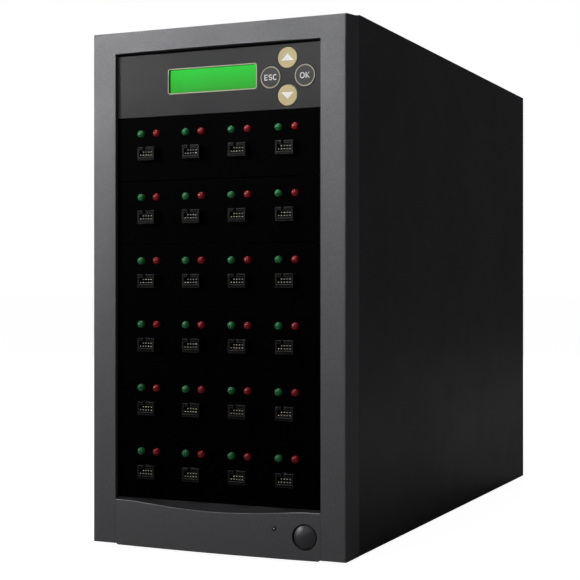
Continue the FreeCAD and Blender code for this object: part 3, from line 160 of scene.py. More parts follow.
def coated(
    name,
    base,
    rough,
    spread=0.05,
    tone=0.08,
    tone_scale=18,
    grain=0.0,
    grain_scale=2600,
    grain_tone=0.0,
    metallic=0.0,
    level=0.5,
    streak=None,
    scuff=0.0,
    dent=0.0,
):
    """A moulded, painted or plated surface with tone, wear and grain of its own.

    grain and dent are depths in metres, streak and the scales count waves in a metre.
    """
    look = Finish(name)
    base = colour(base)
    dark, light = shades(base, tone)
    cloud = look.noise(tone_scale, 5, 0.6)
    tinted = look.mix(look.span(cloud, 0, 1), dark, light)
    fine = look.noise(grain_scale, 2, 0.5)
    if grain_tone:
        deep, pale = shades(base, grain_tone)
        speck = look.mix(look.span(fine, 0, 1, 0.35, 0.65), deep, pale)
        half = look.span(cloud, 0.55, 0.75)
        tinted = look.mix(half, tinted, speck)
    smudge = look.noise(tone_scale * 2.3, 4, 0.65)
    roughness = look.span(smudge, rough - spread, rough + spread)
    if streak:
        lines = look.noise(1.0, 2, 0.5, look.stretched(streak))
        roughness = look.math("ADD", roughness, look.span(lines, -spread, spread))
    if scuff:
        marks = look.noise(1.0, 3, 0.7, look.stretched((900, 70, 260)))
        worn = look.span(marks, 0, 1, 0.68, 0.78, smooth=True)
        tinted = look.mix(look.math("MULTIPLY", worn, scuff), tinted, light)
        roughness = look.math("ADD", roughness, look.math("MULTIPLY", worn, scuff * 0.25))
    look.surface("Base Color", tinted)
    look.surface("Roughness", roughness)
    normal = None
    if dent:
        waves = look.noise(7, 2, 0.4)
        normal = look.bump(waves, dent)
    if grain:
        normal = look.bump(fine, grain, under=normal)
    if normal is not None:
        look.surface("Normal", normal)
    look.surface("Metallic", metallic)
    look.surface("Specular IOR Level", level)
    return look.material


def lens(name, base, depth, glow):
    """A tinted lamp lens: clear skin over a diffusing body."""
    look = Finish(name)
    core, rim = shades(colour(base), depth)
    cloud = look.noise(700, 3, 0.6)
    look.surface("Base Color", look.mix(look.span(cloud, 0, 1), core, rim))
    look.surface("Roughness", look.span(look.noise(1500, 3), 0.16, 0.3))
    look.surface("Normal", look.bump(cloud, 2.5e-4))
    look.surface("Specular IOR Level", 0.3)
    look.surface("Coat Weight", 0.25)
    look.surface("Coat Roughness", 0.08)
    look.surface("Emission Color", (*colour(base), 1.0))
    look.surface("Emission Strength", glow)
    return look.material


def lit_screen(name, low, high):
    """A back-lit display with nothing on it, brighter towards its upper edge."""
    look = Finish(name)
    bottom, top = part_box("screen_glass")
    parts = added(look.tree, "SeparateXYZ")
    look.put(look.place, parts.inputs[0])
    rise = look.span(parts.outputs["Z"], 0, 1, bottom.z, top.z)
    cloud = look.span(look.noise(26, 3), -0.12, 0.12)
    shade = look.mix(look.math("ADD", rise, cloud), colour(low), colour(high))
    look.surface("Emission Color", shade)
    look.surface("Emission Strength", 0.9)
    speck = look.span(look.noise(1900, 2), 0, 1)
    look.surface("Base Color", look.mix(speck, colour("061a07"), colour("08200a")))
    look.surface("Roughness", look.span(look.noise(60, 4), 0.25, 0.4))
    look.surface("Normal", look.bump(look.noise(2400, 2), 1e-5))
    look.surface("Specular IOR Level", 0.06)
    return look.material


def printed_board(name):
    """Solder mask over copper tracks that show through it as a change of tone."""
    look = Finish(name)
    tracks = added(look.tree, "TexVoronoi", Scale=260)
    tracks.distance = "MANHATTAN"
    look.put(look.place, tracks.inputs["Vector"])
    fine = look.span(tracks.outputs["Distance"], 0, 1, 0.42, 0.5)
    base = look.mix(fine, colour("0d3a22"), colour("14502e"))
    cloud = look.span(look.noise(40, 4), 0, 0.4)
    look.surface("Base Color", look.mix(cloud, base, colour("0a2a19")))
    look.surface("Roughness", look.span(look.noise(90, 3), 0.25, 0.42))
    look.surface("Normal", look.bump(fine, 4e-5))
    return look.material


STEEL = coated(
    "painted_steel", "222223", 0.42, 0.05, tone=0.1, tone_scale=6, grain=3e-5,
    grain_scale=2100, grain_tone=0.14, scuff=0.25, dent=4e-4,
)
coated(
    "bare_steel", "8d9092", 0.36, 0.09, tone=0.14, tone_scale=9, grain=1e-5,
    grain_scale=1800, metallic=1.0, streak=(30, 2400, 30), scuff=0.4,
)
SCREW = coated(
    "bright_screw", "3a3b3d", 0.32, 0.08, tone=0.16, tone_scale=160, grain=1e-5,
    metallic=0.85, scuff=0.5,
)
RUBBER = coated(
    "rubber", "151515", 0.82, 0.06, tone=0.2, tone_scale=80, grain=6e-5,
    grain_scale=1400, level=0.3, scuff=0.6,
)
BEZEL = coated(
    "bezel_plastic", "6c6c6e", 0.5, 0.05, tone=0.035, tone_scale=12, grain=9e-5,
    grain_scale=1500, grain_tone=0.16, metallic=0.4, level=0.1, scuff=0.12,
)
PANEL = coated(
    "panel_plastic", "020202", 0.4, 0.05, tone=0.3, tone_scale=22, grain=4e-6,
    level=0.01, scuff=0.2,
)
CONTROL = coated(
    "control_plastic", "29292b", 0.32, 0.04, tone=0.04, tone_scale=16, grain=2e-5,
    grain_scale=2400, grain_tone=0.06, level=0.25, scuff=0.15,
)
# a darker copy of the bezel's plastic for the scoop's slope: painted shade
SCOOP_PAINTED_SHADE = coated(
    "scoop_painted_shade", "2c2c2e", 0.5, 0.05, tone=0.1, tone_scale=12, grain=4e-5,
    grain_scale=1500, grain_tone=0.1, metallic=0.2, level=0.08, scuff=0.12,
)
# a lighter copy of the bezel's plastic for the scoop's lip: a painted highlight
LIP_PAINTED_HIGHLIGHT = coated(
    "lip_painted_highlight", "98989b", 0.3, 0.05, tone=0.05, tone_scale=12, grain=2e-5,
    grain_scale=1500, grain_tone=0.1, metallic=0.4, scuff=0.12,
)
BUTTON = coated(
    "button_plastic", "3a3a3d", 0.34, 0.05, tone=0.06, tone_scale=60, grain=3e-5,
    grain_scale=2200, grain_tone=0.08, level=0.9, scuff=0.2,
)
KEY = coated(
    "key_plastic", "303033", 0.42, 0.05, tone=0.06, tone_scale=90, grain=2e-5,
    level=0.35, scuff=0.1,
)
GOLD = coated(
    "arrow_key_plastic", "bcad82", 0.42, 0.06, tone=0.07, tone_scale=110, grain=2e-5,
    grain_tone=0.07, metallic=0.15, level=0.4, scuff=0.1,
)
RING = coated(
    "beige_print", "b5ad98", 0.5, 0.05, tone=0.08, tone_scale=140, grain=1e-5,
    level=0.3, scuff=0.1,
)
WHITE = coated(
    "white_print", "f0f0ee", 0.5, 0.05, tone=0.04, tone_scale=140, grain=1e-5,
    level=0.3, scuff=0.1,
)
coated(
    "header_plastic", "060607", 0.36, 0.07, tone=0.14, tone_scale=260, grain=3e-5,
    grain_scale=2400, grain_tone=0.1, level=0.1,
)
# a lighter copy of the headers' plastic for their bevelled rims: a painted highlight
HEADER_EDGE_PAINTED_HIGHLIGHT = coated(
    "header_edge_painted_highlight", "363638", 0.4, 0.07, tone=0.3, tone_scale=700, grain=2e-5,
    grain_scale=2400, grain_tone=0.4, level=0.4,
)
CONTACT_WITH_PAINTED_GLINT = coated(
    "contact", "fff6e2", 0.3, 0.06, tone=0.05, tone_scale=500, grain=1e-5,
    level=0.9,
)
# a pin is about a pixel wide from the camera, so its tip is given a painted glint: the contact
# glows with a light of its own
glint = CONTACT_WITH_PAINTED_GLINT.node_tree.nodes["Principled BSDF"]
glint.inputs["Emission Color"].default_value = (1.0, 0.9, 0.72, 1.0)
glint.inputs["Emission Strength"].default_value = 0.3
# a darker copy of the contact for the pins' sides: painted shade
PIN_SIDE_PAINTED_SHADE = coated(
    "contact_side_painted_shade", "6a6250", 0.4, 0.06, tone=0.08, tone_scale=500, grain=1e-5,
    metallic=0.3, level=0.4,
)
coated(
    "switch_plastic", "171718", 0.38, 0.06, tone=0.12, tone_scale=70, grain=2e-5,
    grain_scale=2200, level=0.4, scuff=0.2,
)
coated(
    "cable_sheath", "3b3b3d", 0.5, 0.06, tone=0.12, tone_scale=60, grain=4e-5,
    grain_scale=1200, streak=(780, 4, 4),
)
FAN = coated(
    "fan_plastic", "121213", 0.42, 0.06, tone=0.12, tone_scale=50, grain=3e-5,
    grain_scale=2000, level=0.4, scuff=0.2,
)
WIRE = coated(
    "guard_wire", "a5a7a8", 0.24, 0.06, tone=0.12, tone_scale=90, grain=1e-5,
    metallic=1.0, scuff=0.4,
)
printed_board("circuit_board")
lit_screen("lit_glass", "37ab34", "38d647")
GREEN = lens("green_lens", "20683a", 0.5, 0.05)
RED = lens("red_lens", "80101b", 0.5, 0.05)
SMOKED = lens("smoked_lens", "10161c", 0.25, 0.0)
# a pale spot that glows a little, for the tip of the unlit power lens: a painted glint
SMOKED_TIP_GLINT = lens("smoked_lens_painted_glint", "a9bccb", 0.25, 0.3)


# ---- mesh building


def box_of(node):
    """A node's lowest and highest corners, and its middle."""
    low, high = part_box(node)
    return low, high, (low + high) / 2


def piece(name, mesh, material, body, crease=35):
    """Puts a mesh in the scene as a piece that rides on a body."""
    mesh.set_sharp_from_angle(angle=radians(crease))
    for polygon in mesh.polygons:
        polygon.use_smooth = max(map(abs, polygon.normal)) < SQUARE
    mesh.materials.clear()
    mesh.materials.append(material)
    mesh.name = name
    thing = bpy.data.objects.new(name, mesh)
    bpy.context.scene.collection.objects.link(thing)
    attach(thing, body)
    return thing


def as_mesh(shape):
    """An edit mesh as a mesh, its normals outward."""
    bmesh.ops.recalc_face_normals(shape, faces=shape.faces)
    mesh = bpy.data.meshes.new("shape")
    shape.to_mesh(mesh)
    shape.free()
    return mesh


def evaluated(thing):
    """An object's mesh with its curve or its modifiers worked out."""
    bpy.context.view_layer.update()
    graph = bpy.context.evaluated_depsgraph_get()
    return bpy.data.meshes.new_from_object(thing.evaluated_get(graph), depsgraph=graph)


def joined(meshes):
    """Several meshes as one."""
    shape = bmesh.new()
    for mesh in meshes:
        shape.from_mesh(mesh)
        bpy.data.meshes.remove(mesh)
    result = bpy.data.meshes.new("joined")
    shape.to_mesh(result)
    shape.free()
    return result


def turned(profile, x, z, segments=64):
    """A closed shape turned about the line through (x, z) along y; profile has (radius, y)."""
    shape = bmesh.new()
    rings = []
    for radius, y in profile:
        places = ring(x, z, radius, segments) if radius else [(x, z)]
        rings.append([shape.verts.new((u, y, v)) for u, v in places])
    for first, second in zip(rings, rings[1:]):
        for i in range(segments):
            corners = [
                first[i % len(first)],
                first[(i + 1) % len(first)],
                second[(i + 1) % len(second)],
                second[i % len(second)],
            ]
            unique = list(dict.fromkeys(corners))
            if len(unique) > 2:
                shape.faces.new(unique)
    return as_mesh(shape)


def arc(cx, cy, radius, start, end, steps):
    """Points of an arc, in (radius, y) or (x, z)."""
    points = []
    for i in range(steps + 1):
        turn = start + (end - start) * i / steps
        points.append((cx + radius * cos(turn), cy + radius * sin(turn)))
    return points


def round_rect(x, z, width, height, radius, steps=5):
    """A rectangle about (x, z) with rounded corners, or square ones if the radius is 0."""
    points = []
    corners = ((1, 1, 0), (-1, 1, pi / 2), (-1, -1, pi), (1, -1, 3 * pi / 2))
    for sx, sz, start in corners:
        cx = x + sx * (width / 2 - radius)
        cz = z + sz * (height / 2 - radius)
        points += arc(cx, cz, radius, start, start + pi / 2, steps) if radius else [(cx, cz)]
    return points


def ring(x, z, radius, count=48):
    """A circle about (x, z)."""
    turns = [2 * pi * i / count for i in range(count)]
    return [(x + radius * cos(turn), z + radius * sin(turn)) for turn in turns]


def plate(loops, front, back, edge=0.0, steps=2):
    """A flat plate from front to back in y, with its outline and holes given in (x, z)."""
    curve = bpy.data.curves.new("plate", "CURVE")
    curve.dimensions = "2D"
    curve.fill_mode = "BOTH"
    for loop in loops:
        line = curve.splines.new("POLY")
        line.points.add(len(loop) - 1)
        for point, (u, v) in zip(line.points, loop):
            point.co = (u, v, 0, 1)
        line.use_cyclic_u = True
    half = abs(back - front) / 2
    curve.extrude = half - edge
    curve.bevel_depth = edge
    curve.bevel_resolution = steps
    curve.offset = -edge
    mesh = from_curve(curve)
    middle = (front + back) / 2
    mesh.transform(Matrix(((1, 0, 0, 0), (0, 0, -1, middle), (0, 1, 0, 0), (0, 0, 0, 1))))
    return welded(mesh)


def from_curve(curve):
    """The mesh of a curve, which is let go."""
    holder = bpy.data.objects.new("curve", curve)
    bpy.context.scene.collection.objects.link(holder)
    mesh = evaluated(holder)
    bpy.data.objects.remove(holder)
    bpy.data.curves.remove(curve)
    return mesh


def welded(mesh, gap=1e-6):
    """The mesh with doubled points merged and its normals outward."""
    shape = bmesh.new()
    shape.from_mesh(mesh)
    bmesh.ops.remove_doubles(shape, verts=shape.verts, dist=gap)
    bmesh.ops.recalc_face_normals(shape, faces=shape.faces)
    shape.to_mesh(mesh)
    shape.free()
    return mesh


def wire(points, radius, closed=False):
    """A round wire through the points."""
    curve = bpy.data.curves.new("wire", "CURVE")
    curve.dimensions = "3D"
    line = curve.splines.new("POLY")
    line.points.add(len(points) - 1)
    for point, place in zip(line.points, points):
        point.co = (*place, 1)
    line.use_cyclic_u = closed
    curve.bevel_depth = radius
    curve.bevel_resolution = 4
    curve.use_fill_caps = not closed
    return welded(from_curve(curve))


def block(low, high, edge=0.2 * MM):
    """A box between two corners with its edges rounded."""
    shape = bmesh.new()
    bmesh.ops.create_cube(shape, size=1)
    size = [b - a for a, b in zip(low, high)]
    middle = [(a + b) / 2 for a, b in zip(low, high)]
    for vertex in shape.verts:
        vertex.co = Vector([m + c * s for m, c, s in zip(middle, vertex.co, size)])
    if edge:
        bmesh.ops.bevel(
            shape, geom=shape.edges[:], offset=edge, segments=2, profile=0.5, affect="EDGES"
        )
    return as_mesh(shape)


def drop_normals(mesh):
    """Forgets the normals that a CAD mesh came with."""
    if "custom_normal" in mesh.attributes:
        mesh.attributes.remove(mesh.attributes["custom_normal"])


def soften(node, width, segments=2, merge=True):
    """Rounds a CAD node's edges, its flat faces merged first unless they are pierced."""
    thing = NODES[node]
    drop_normals(thing.data)
    for polygon in thing.data.polygons:
        polygon.use_smooth = True
    weld = thing.modifiers.new("weld", "WELD")
    weld.merge_threshold = 2e-6
    if merge:
        flat = thing.modifiers.new("flat", "DECIMATE")
        flat.decimate_type = "DISSOLVE"
        flat.angle_limit = radians(0.6)
    edge = thing.modifiers.new("edge", "BEVEL")
    edge.width = width
    edge.segments = segments
    edge.limit_method = "ANGLE"
    edge.angle_limit = radians(30)
    edge.harden_normals = True
    edge.use_clamp_overlap = True


def dress(node, material):
    """Gives all of a CAD node one material."""
    mesh = NODES[node].data
    mesh.materials.clear()
    mesh.materials.append(material)
    for polygon in mesh.polygons:
        polygon.material_index = 0


# ---- CAD nodes that show as they are


for entry in frame["record"]["subparts"]:
    if entry["node"] in NODES:
        dress(entry["node"], LOOKS[entry["material_slot"]])

HEADERS = [f"port_headers_{number}" for number in range(1, ROWS + 1)]
PORT_BOARDS = [f"port_board_{number}" for number in range(1, ROWS + 1)]
BOARDS = ["key_board", "controller_board", "psu_board", *PORT_BOARDS]
SHEETS = ["top_cover", "side_panel_left", "side_panel_right", "bay_rail_left", "bay_rail_right"]
# the faces of these have so many holes that they don't merge cleanly
PIERCED = ["base_pan", "front_plate", "psu_cover"]
MOULDED = ["power_switch", "psu_inlet", "psu_switch_frame", *HEADERS]
FINE = ["bezel_frame", "screen_module", "key_switches", "wiring_harness", "switch_plunger"]

for node in HEADERS:
    NODES[node].data.materials.append(HEADER_EDGE_PAINTED_HIGHLIGHT)
for node in FINE + BOARDS:
    soften(node, 0.2 * MM)
for node in SHEETS + MOULDED:
    soften(node, 0.3 * MM)
for node in PIERCED:
    soften(node, 0.3 * MM, merge=False)
soften("psu_rocker", 0.4 * MM)
soften("header_pins", 0.04 * MM, segments=1)
# the headers' rounded edges take the lighter copy, a painted highlight
for node in HEADERS:
    NODES[node].modifiers["edge"].material = 1

# the pins' tips get the contact with its painted glint, and their sides a darker copy of it:
# painted shade, as the sides lie deep in the headers' shade
pins = NODES["header_pins"].data
pins.materials.append(PIN_SIDE_PAINTED_SHADE)
for polygon in pins.polygons:
    polygon.material_index = 0 if polygon.normal.y < -0.9 else 1


# ---- scooped foot of the bezel


def without(mesh, cutter_mesh):
    """The mesh with another one's volume taken away."""
    thing = bpy.data.objects.new("kept", mesh)
    cutter = bpy.data.objects.new("cutter", cutter_mesh)
    for item in (thing, cutter):
        bpy.context.scene.collection.objects.link(item)
    tool = thing.modifiers.new("cut", "BOOLEAN")
    tool.object = cutter
    tool.operation = "DIFFERENCE"
    tool.solver = "EXACT"
    result = evaluated(thing)
    for item in (thing, cutter):
        bpy.data.objects.remove(item)
    return result


def strip_solid(rows):
    """A closed solid through cross-sections that have as many points each."""
    shape = bmesh.new()
    rings = [[shape.verts.new(point) for point in row] for row in rows]
    count = len(rings[0])
    for first, second in zip(rings, rings[1:]):
        for i in range(count):
            j = (i + 1) % count
            shape.faces.new((first[i], first[j], second[j], second[i]))
    shape.faces.new(rings[0])
    shape.faces.new(rings[-1])
    return as_mesh(shape)


# the foot's front bows out by this much over its width
FRONT_BULGE = 2.4 * MM
SCOOP_DEPTH = 5.0 * MM
SCOOP_END_DROP = 1.4 * MM
SCOOP_MIDDLE_DROP = 4.9 * MM
SCOOP_REACH = 62 * MM
SCOOP_STATIONS = 72
LIP_RADIUS = 0.55 * MM
LIP_STEPS = 6
# faces of the lip are smaller than this, in square metres, and those of the slope are larger
LIP_FACE = 1.2e-6
# how far the cutting shape stands out past the foot
CUT_OVER = 1 * MM
CUT_ABOVE = 4 * MM


def scoop_section(x, low, high):
    """What the scoop takes away at one place along the foot, as points of a cross-section."""
    half = (high.x - low.x) / 2
    bend = (half * half + FRONT_BULGE * FRONT_BULGE) / (2 * FRONT_BULGE)
    front = low.y + bend - (bend * bend - min(abs(x), half) ** 2) ** 0.5
    share = max(0.0, 1 - (x / SCOOP_REACH) ** 2) ** 1.2
    lip_z = high.z - SCOOP_END_DROP - (SCOOP_MIDDLE_DROP - SCOOP_END_DROP) * share
    back = low.y + SCOOP_DEPTH
    lean = atan2(high.z - lip_z, back - front)
    # the lip is an arc between the front face and the slope
    bow = pi / 2 - lean
    centre_y, centre_z = front + LIP_RADIUS, lip_z - LIP_RADIUS * tan(bow / 2)
    start_z = centre_z - 0.1 * MM
    points = [(x, front - CUT_OVER, start_z), (x, front - 0.01 * MM, start_z)]
    lip = arc(centre_y, centre_z, LIP_RADIUS, pi, pi - bow, LIP_STEPS)
    points += [(x, y, z) for y, z in lip[1:]]
    end_y = back + CUT_OVER * cos(lean)
    points.append((x, end_y, high.z + CUT_OVER * sin(lean)))
    points.append((x, end_y, high.z + CUT_ABOVE))
    points.append((x, front - CUT_OVER, high.z + CUT_ABOVE))
    return points


low, high, _ = box_of("lower_bezel")
foot = NODES["lower_bezel"].data.copy()
foot.transform(NODES["lower_bezel"].matrix_world)
drop_normals(foot)
rows = []
for i in range(SCOOP_STATIONS + 1):
    along = (high.x - low.x + 2 * CUT_OVER) * i / SCOOP_STATIONS
    rows.append(scoop_section(low.x - CUT_OVER + along, low, high))
foot = without(welded(foot, 2e-6), strip_solid(rows))
foot_face = piece("scooped_foot", foot, BEZEL, "chassis", crease=28)
foot_face.data.materials.append(SCOOP_PAINTED_SHADE)
foot_face.data.materials.append(LIP_PAINTED_HIGHLIGHT)
for polygon in foot_face.data.polygons:
    # the scoop's faces look up, and all but the flat ones look forward as well; the slope gets a
    # darker copy of the bezel's plastic, a painted shade, and the lip's small faces a lighter
    # one, a painted highlight
    normal = polygon.normal
    in_reach = polygon.center.y < low.y + SCOOP_DEPTH and polygon.center.z > high.z - 7 * MM
    if in_reach and normal.z > 0.25 and (normal.z < 0.96 or normal.y < -0.05):
        polygon.material_index = 2 if polygon.area < LIP_FACE else 1
even = foot_face.modifiers.new("even", "WEIGHTED_NORMAL")
even.keep_sharp = True
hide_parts("lower_bezel")


# ---- bay panels, control panel

PANEL_DEPTH = 2.8 * MM
EAR = 1.6 * MM
EAR_REACH = 15 * MM
RIB_X = 66.5 * MM
# forms behind a face start this far inside it
OVERLAP = 0.2 * MM
WELL_GAP = 0.4 * MM
LAMP_RADIUS = 2.5 * MM
LAMP_HOLE = 2.65 * MM
KEYS = ("key_up", "key_down", "key_escape", "key_ok")
KEY_FLANGE = 0.9 * MM
KEY_GAP = 0.2 * MM
POST_REACH = 14.5 * MM
# width, height and corner radius
WINDOW = (64.0 * MM, 15.6 * MM, 1.2 * MM)
WINDOW_LINE = (65.3 * MM, 16.9 * MM, 1.8 * MM)


def bar(x, z, half_x, half_z, front, back, edge=0.2 * MM):
    """A block about the line through (x, z) along y."""
    return block((x - half_x, front, z - half_z), (x + half_x, back, z + half_z), edge)


def panel_meshes(node, holes):
    """A bay panel's face with its holes, and the ears behind it."""
    low, high, middle = box_of(node)
    face = round_rect(middle.x, middle.z, high.x - low.x, high.z - low.z, 0.6 * MM, 4)
    meshes = [plate([face, *holes], low.y, low.y + PANEL_DEPTH, 0.35 * MM)]
    bottom, top = middle.z - EAR_REACH, middle.z + EAR_REACH
    for side in (low.x, high.x - EAR):
        corner = (side, low.y + PANEL_DEPTH - OVERLAP, bottom)
        meshes.append(block(corner, (side + EAR, high.y, top)))
    return meshes


def key_radius(node):
    """The radius of a key's cap, inside its flange."""
    low, high, _ = box_of(node)
    return (high.x - low.x) / 2 - KEY_FLANGE


green_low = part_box("green_lamps")[0]
red_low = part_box("red_lamps")[0]
for number in range(1, ROWS + 1):
    node = f"bay_panel_{number}"
    low, _, middle = box_of(node)
    header_low, header_high, header_middle = box_of(f"port_headers_{number}")
    width = header_high.x - header_low.x - (COLUMNS - 1) * PORT_PITCH
    height = header_high.z - header_low.z
    well = (width + WELL_GAP, height + WELL_GAP, 0.3 * MM, 3)
    lamp_z = green_low.z + LAMP_RADIUS + (ROWS - number) * ROW_PITCH
    holes = []
    for column in range(COLUMNS):
        x = header_low.x + width / 2 + column * PORT_PITCH
        holes.append(round_rect(x, header_middle.z, *well))
        for left in (green_low.x, red_low.x):
            holes.append(ring(left + LAMP_RADIUS + column * PORT_PITCH, lamp_z, LAMP_HOLE, 40))
    meshes = panel_meshes(node, holes)
    start, stop = low.y + PANEL_DEPTH - OVERLAP, low.y + PANEL_DEPTH + 1.0 * MM
    for x in (-RIB_X, RIB_X):
        meshes.append(bar(x, middle.z, 2.5 * MM, 18 * MM, start, stop))
    face = piece(f"bay_face_{number}", joined(meshes), PANEL, "chassis")
    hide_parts(node)

glass = box_of("screen_glass")[2]
panel_low, _, panel_middle = box_of("control_panel")
holes = [round_rect(glass.x, glass.z, *WINDOW)]
for key in KEYS:
    middle = box_of(key)[2]
    holes.append(ring(middle.x, middle.z, key_radius(key) + KEY_GAP, 64))
meshes = panel_meshes("control_panel", holes)
key_middle_x = box_of("key_up")[2].x
board_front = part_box("key_board")[0].y
for sx, sz in CORNERS:
    x, z = key_middle_x + sx * POST_REACH, panel_middle.z + sz * POST_REACH
    meshes.append(bar(x, z, 2 * MM, 2 * MM, panel_low.y + PANEL_DEPTH - OVERLAP, board_front))
control = piece("control_face", joined(meshes), CONTROL, "chassis")
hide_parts("control_panel")

# a printed line round the window
loops = [round_rect(glass.x, glass.z, *size, 6) for size in (WINDOW_LINE, WINDOW)]
line = plate(loops, panel_low.y - 0.04 * MM, panel_low.y + 0.02 * MM)
piece("window_line", line, RING, "chassis")


# ---- keys

# a letter's stroke, in millimetres, and how square its round lines are
STROKE = 0.56
SQUARENESS = 2.4


def key_mesh(node):
    """A key's cap with a rounded rim, its flange and its post."""
    low, high, middle = box_of(node)
    radius = key_radius(node)
    front, back = low.y, high.y
    flange_back = back - 2.5 * MM
    flange_front = flange_back - 1.0 * MM
    rim, post = 0.5 * MM, 1.6 * MM
    profile = [(0, front), (radius * 0.5, front), (radius - 2 * rim, front + 0.01 * MM)]
    for turn in (0, 0.4, 0.8, 1.2):
        profile.append((radius - rim + rim * sin(turn), front + rim - rim * cos(turn)))
    profile += [
        (radius, front + rim),
        (radius, flange_front),
        (radius + KEY_FLANGE, flange_front),
        (radius + KEY_FLANGE, flange_back),
        (post, flange_back),
        (post, back),
        (0, back),
    ]
    return turned(profile, middle.x, middle.z, 72)


def sign(loops, front, proud=0.05 * MM):
    """A raised print of that shape on a face that looks to -y."""
    return plate(loops, front - proud, front + 0.03 * MM)


def moved(loop, x, z):
    """A loop given in millimetres about (x, z)."""
    return [(x + u * MM, z + v * MM) for u, v in loop]


def stroke_ring(cx, width, height, start=0.0, end=2 * pi):
    """A letter's rounded stroke, as an outer and an inner line (open unless it goes round)."""
    steps = 40
    turns = [start + (end - start) * i / steps for i in range(steps + 1)]

    def line(w, h):
        points = []
        for turn in turns:
            c, s = cos(turn), sin(turn)
            u = copysign(abs(c) ** (2 / SQUARENESS), c)
            v = copysign(abs(s) ** (2 / SQUARENESS), s)
            points.append((cx + w / 2 * u, h / 2 * v))
        return points

    return line(width, height), line(width - 2 * STROKE, height - 2 * STROKE)


# a letter is a list of shapes, and a shape is a list of loops in millimetres


def letter_o(cx, width, height):
    outer_line, inner_line = stroke_ring(cx, width, height)
    return [[outer_line[:-1], inner_line[:-1]]]


def letter_c(cx, width, height):
    gap = 0.75
    outer_line, inner_line = stroke_ring(cx, width, height, gap, 2 * pi - gap)
    return [[outer_line + inner_line[::-1]]]


def letter_e(cx, width, height):
    left, right, half = cx - width / 2, cx + width / 2, height / 2
    stem, arm = left + STROKE, right - 0.15
    outline = [
        (left, -half),
        (right, -half),
        (right, -half + STROKE),
        (stem, -half + STROKE),
        (stem, -STROKE / 2),
        (arm, -STROKE / 2),
        (arm, STROKE / 2),
        (stem, STROKE / 2),
        (stem, half - STROKE),
        (right, half - STROKE),
        (right, half),
        (left, half),
    ]
    return [[outline]]


def letter_k(cx, width, height):
    left, right, half = cx - width / 2, cx + width / 2, height / 2
    stem = left + STROKE
    upright = [(left, -half), (stem, -half), (stem, half), (left, half)]
    arms = [
        (stem, -STROKE * 0.55),
        (right - STROKE * 1.15, half),
        (right, half),
        (left + STROKE * 1.95, STROKE * 0.28),
        (right + 0.1, -half),
        (right - STROKE * 1.2, -half),
        (left + STROKE * 1.35, -STROKE * 0.28),
        (stem, -STROKE * 0.95),
    ]
    return [[upright], [arms]]


def letter_s(cx, width, height):
    """An S as one stroke of even width along two bowls."""
    bowl, half = (height - STROKE) / 4, (width - STROKE) / 2
    sweep, steps = 245, 12
    spine = []
    for i in range(steps + 1):
        turn = radians(270 - sweep + sweep * i / steps)
        spine.append((cx + half * cos(turn), bowl + bowl * sin(turn)))
    for i in range(1, steps + 1):
        turn = radians(90 - sweep * i / steps)
        spine.append((cx + half * cos(turn), -bowl + bowl * sin(turn)))
    left_side, right_side = [], []
    for i, (u, v) in enumerate(spine):
        before = spine[max(0, i - 1)]
        after = spine[min(len(spine) - 1, i + 1)]
        du, dv = after[0] - before[0], after[1] - before[1]
        length = hypot(du, dv) or 1.0
        nu, nv = -dv / length * STROKE / 2, du / length * STROKE / 2
        left_side.append((u + nu, v + nv))
        right_side.append((u - nu, v - nv))
    return [[left_side + right_side[::-1]]]


def word(letters, x, z, front):
    """Letters as one raised print about (x, z)."""
    meshes = []
    for loops in sum(letters, []):
        meshes.append(sign([moved(loop, x, z) for loop in loops], front, 0.06 * MM))
    return joined(meshes)


ARROWS = {
    "key_up": [(-4.25, -1.9), (4.25, -1.9), (0, 2.6)],
    "key_down": [(0, -2.6), (4.25, 1.9), (-4.25, 1.9)],
}
WORDS = {
    "key_escape": [letter_e(-3.1, 2.3, 3.7), letter_s(0.0, 2.6, 3.7), letter_c(3.15, 2.8, 3.8)],
    "key_ok": [letter_o(-1.75, 3.2, 3.8), letter_k(1.9, 2.7, 3.7)],
}

for key in KEYS:
    low, _, middle = box_of(key)
    arrow = key in ARROWS
    slot = "arrow_key_plastic" if arrow else "key_plastic"
    cap = piece(f"{key}_cap", key_mesh(key), GOLD if arrow else KEY, key)
    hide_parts(key)
    if arrow:
        marks = sign([moved(ARROWS[key], middle.x, middle.z)], low.y)
        piece(f"{key}_arrow", marks, WHITE, key)
    else:
        loops = [ring(middle.x, middle.z, radius, 72) for radius in (7.05 * MM, 6.3 * MM)]
        piece(f"{key}_ring", sign(loops, low.y + 0.02 * MM), RING, key)
        text = word(WORDS[key], middle.x, middle.z, low.y)
        piece(f"{key}_word", text, WHITE, key)


# ---- power button and lamp

CAP_RADIUS = 7.75 * MM
CAP_RISE = 2.2 * MM
CAP_WALL = 1.6 * MM
STEM_RADIUS = 3.0 * MM
DOME_RADIUS = 1.5 * MM

low, high, middle = box_of("power_button")
flange_radius = (high.x - low.x) / 2
flange_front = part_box("front_plate")[0].y - 15.0 * MM
flange_back, cup = flange_front + 1.2 * MM, flange_front - 3.0 * MM
sphere = (CAP_RADIUS * CAP_RADIUS + CAP_RISE * CAP_RISE) / (2 * CAP_RISE)
profile = []
for i in range(13):
    reach = CAP_RADIUS * 0.955 * i / 12
    profile.append((reach, low.y + sphere - (sphere * sphere - reach * reach) ** 0.5))
shoulder = profile[-1][1]
profile += [
    (CAP_RADIUS * 0.985, shoulder + 0.16 * MM),
    (CAP_RADIUS, shoulder + 0.45 * MM),
    (CAP_RADIUS, flange_front),
    (flange_radius, flange_front),
    (flange_radius, flange_back),
    (CAP_RADIUS - CAP_WALL, flange_back),
    (CAP_RADIUS - CAP_WALL, cup),
    (STEM_RADIUS, cup),
    (STEM_RADIUS, high.y),
    (0, high.y),
]
mesh = turned(profile, middle.x, middle.z, 96)
button = piece("power_cap", mesh, BUTTON, "power_button")
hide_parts("power_button")

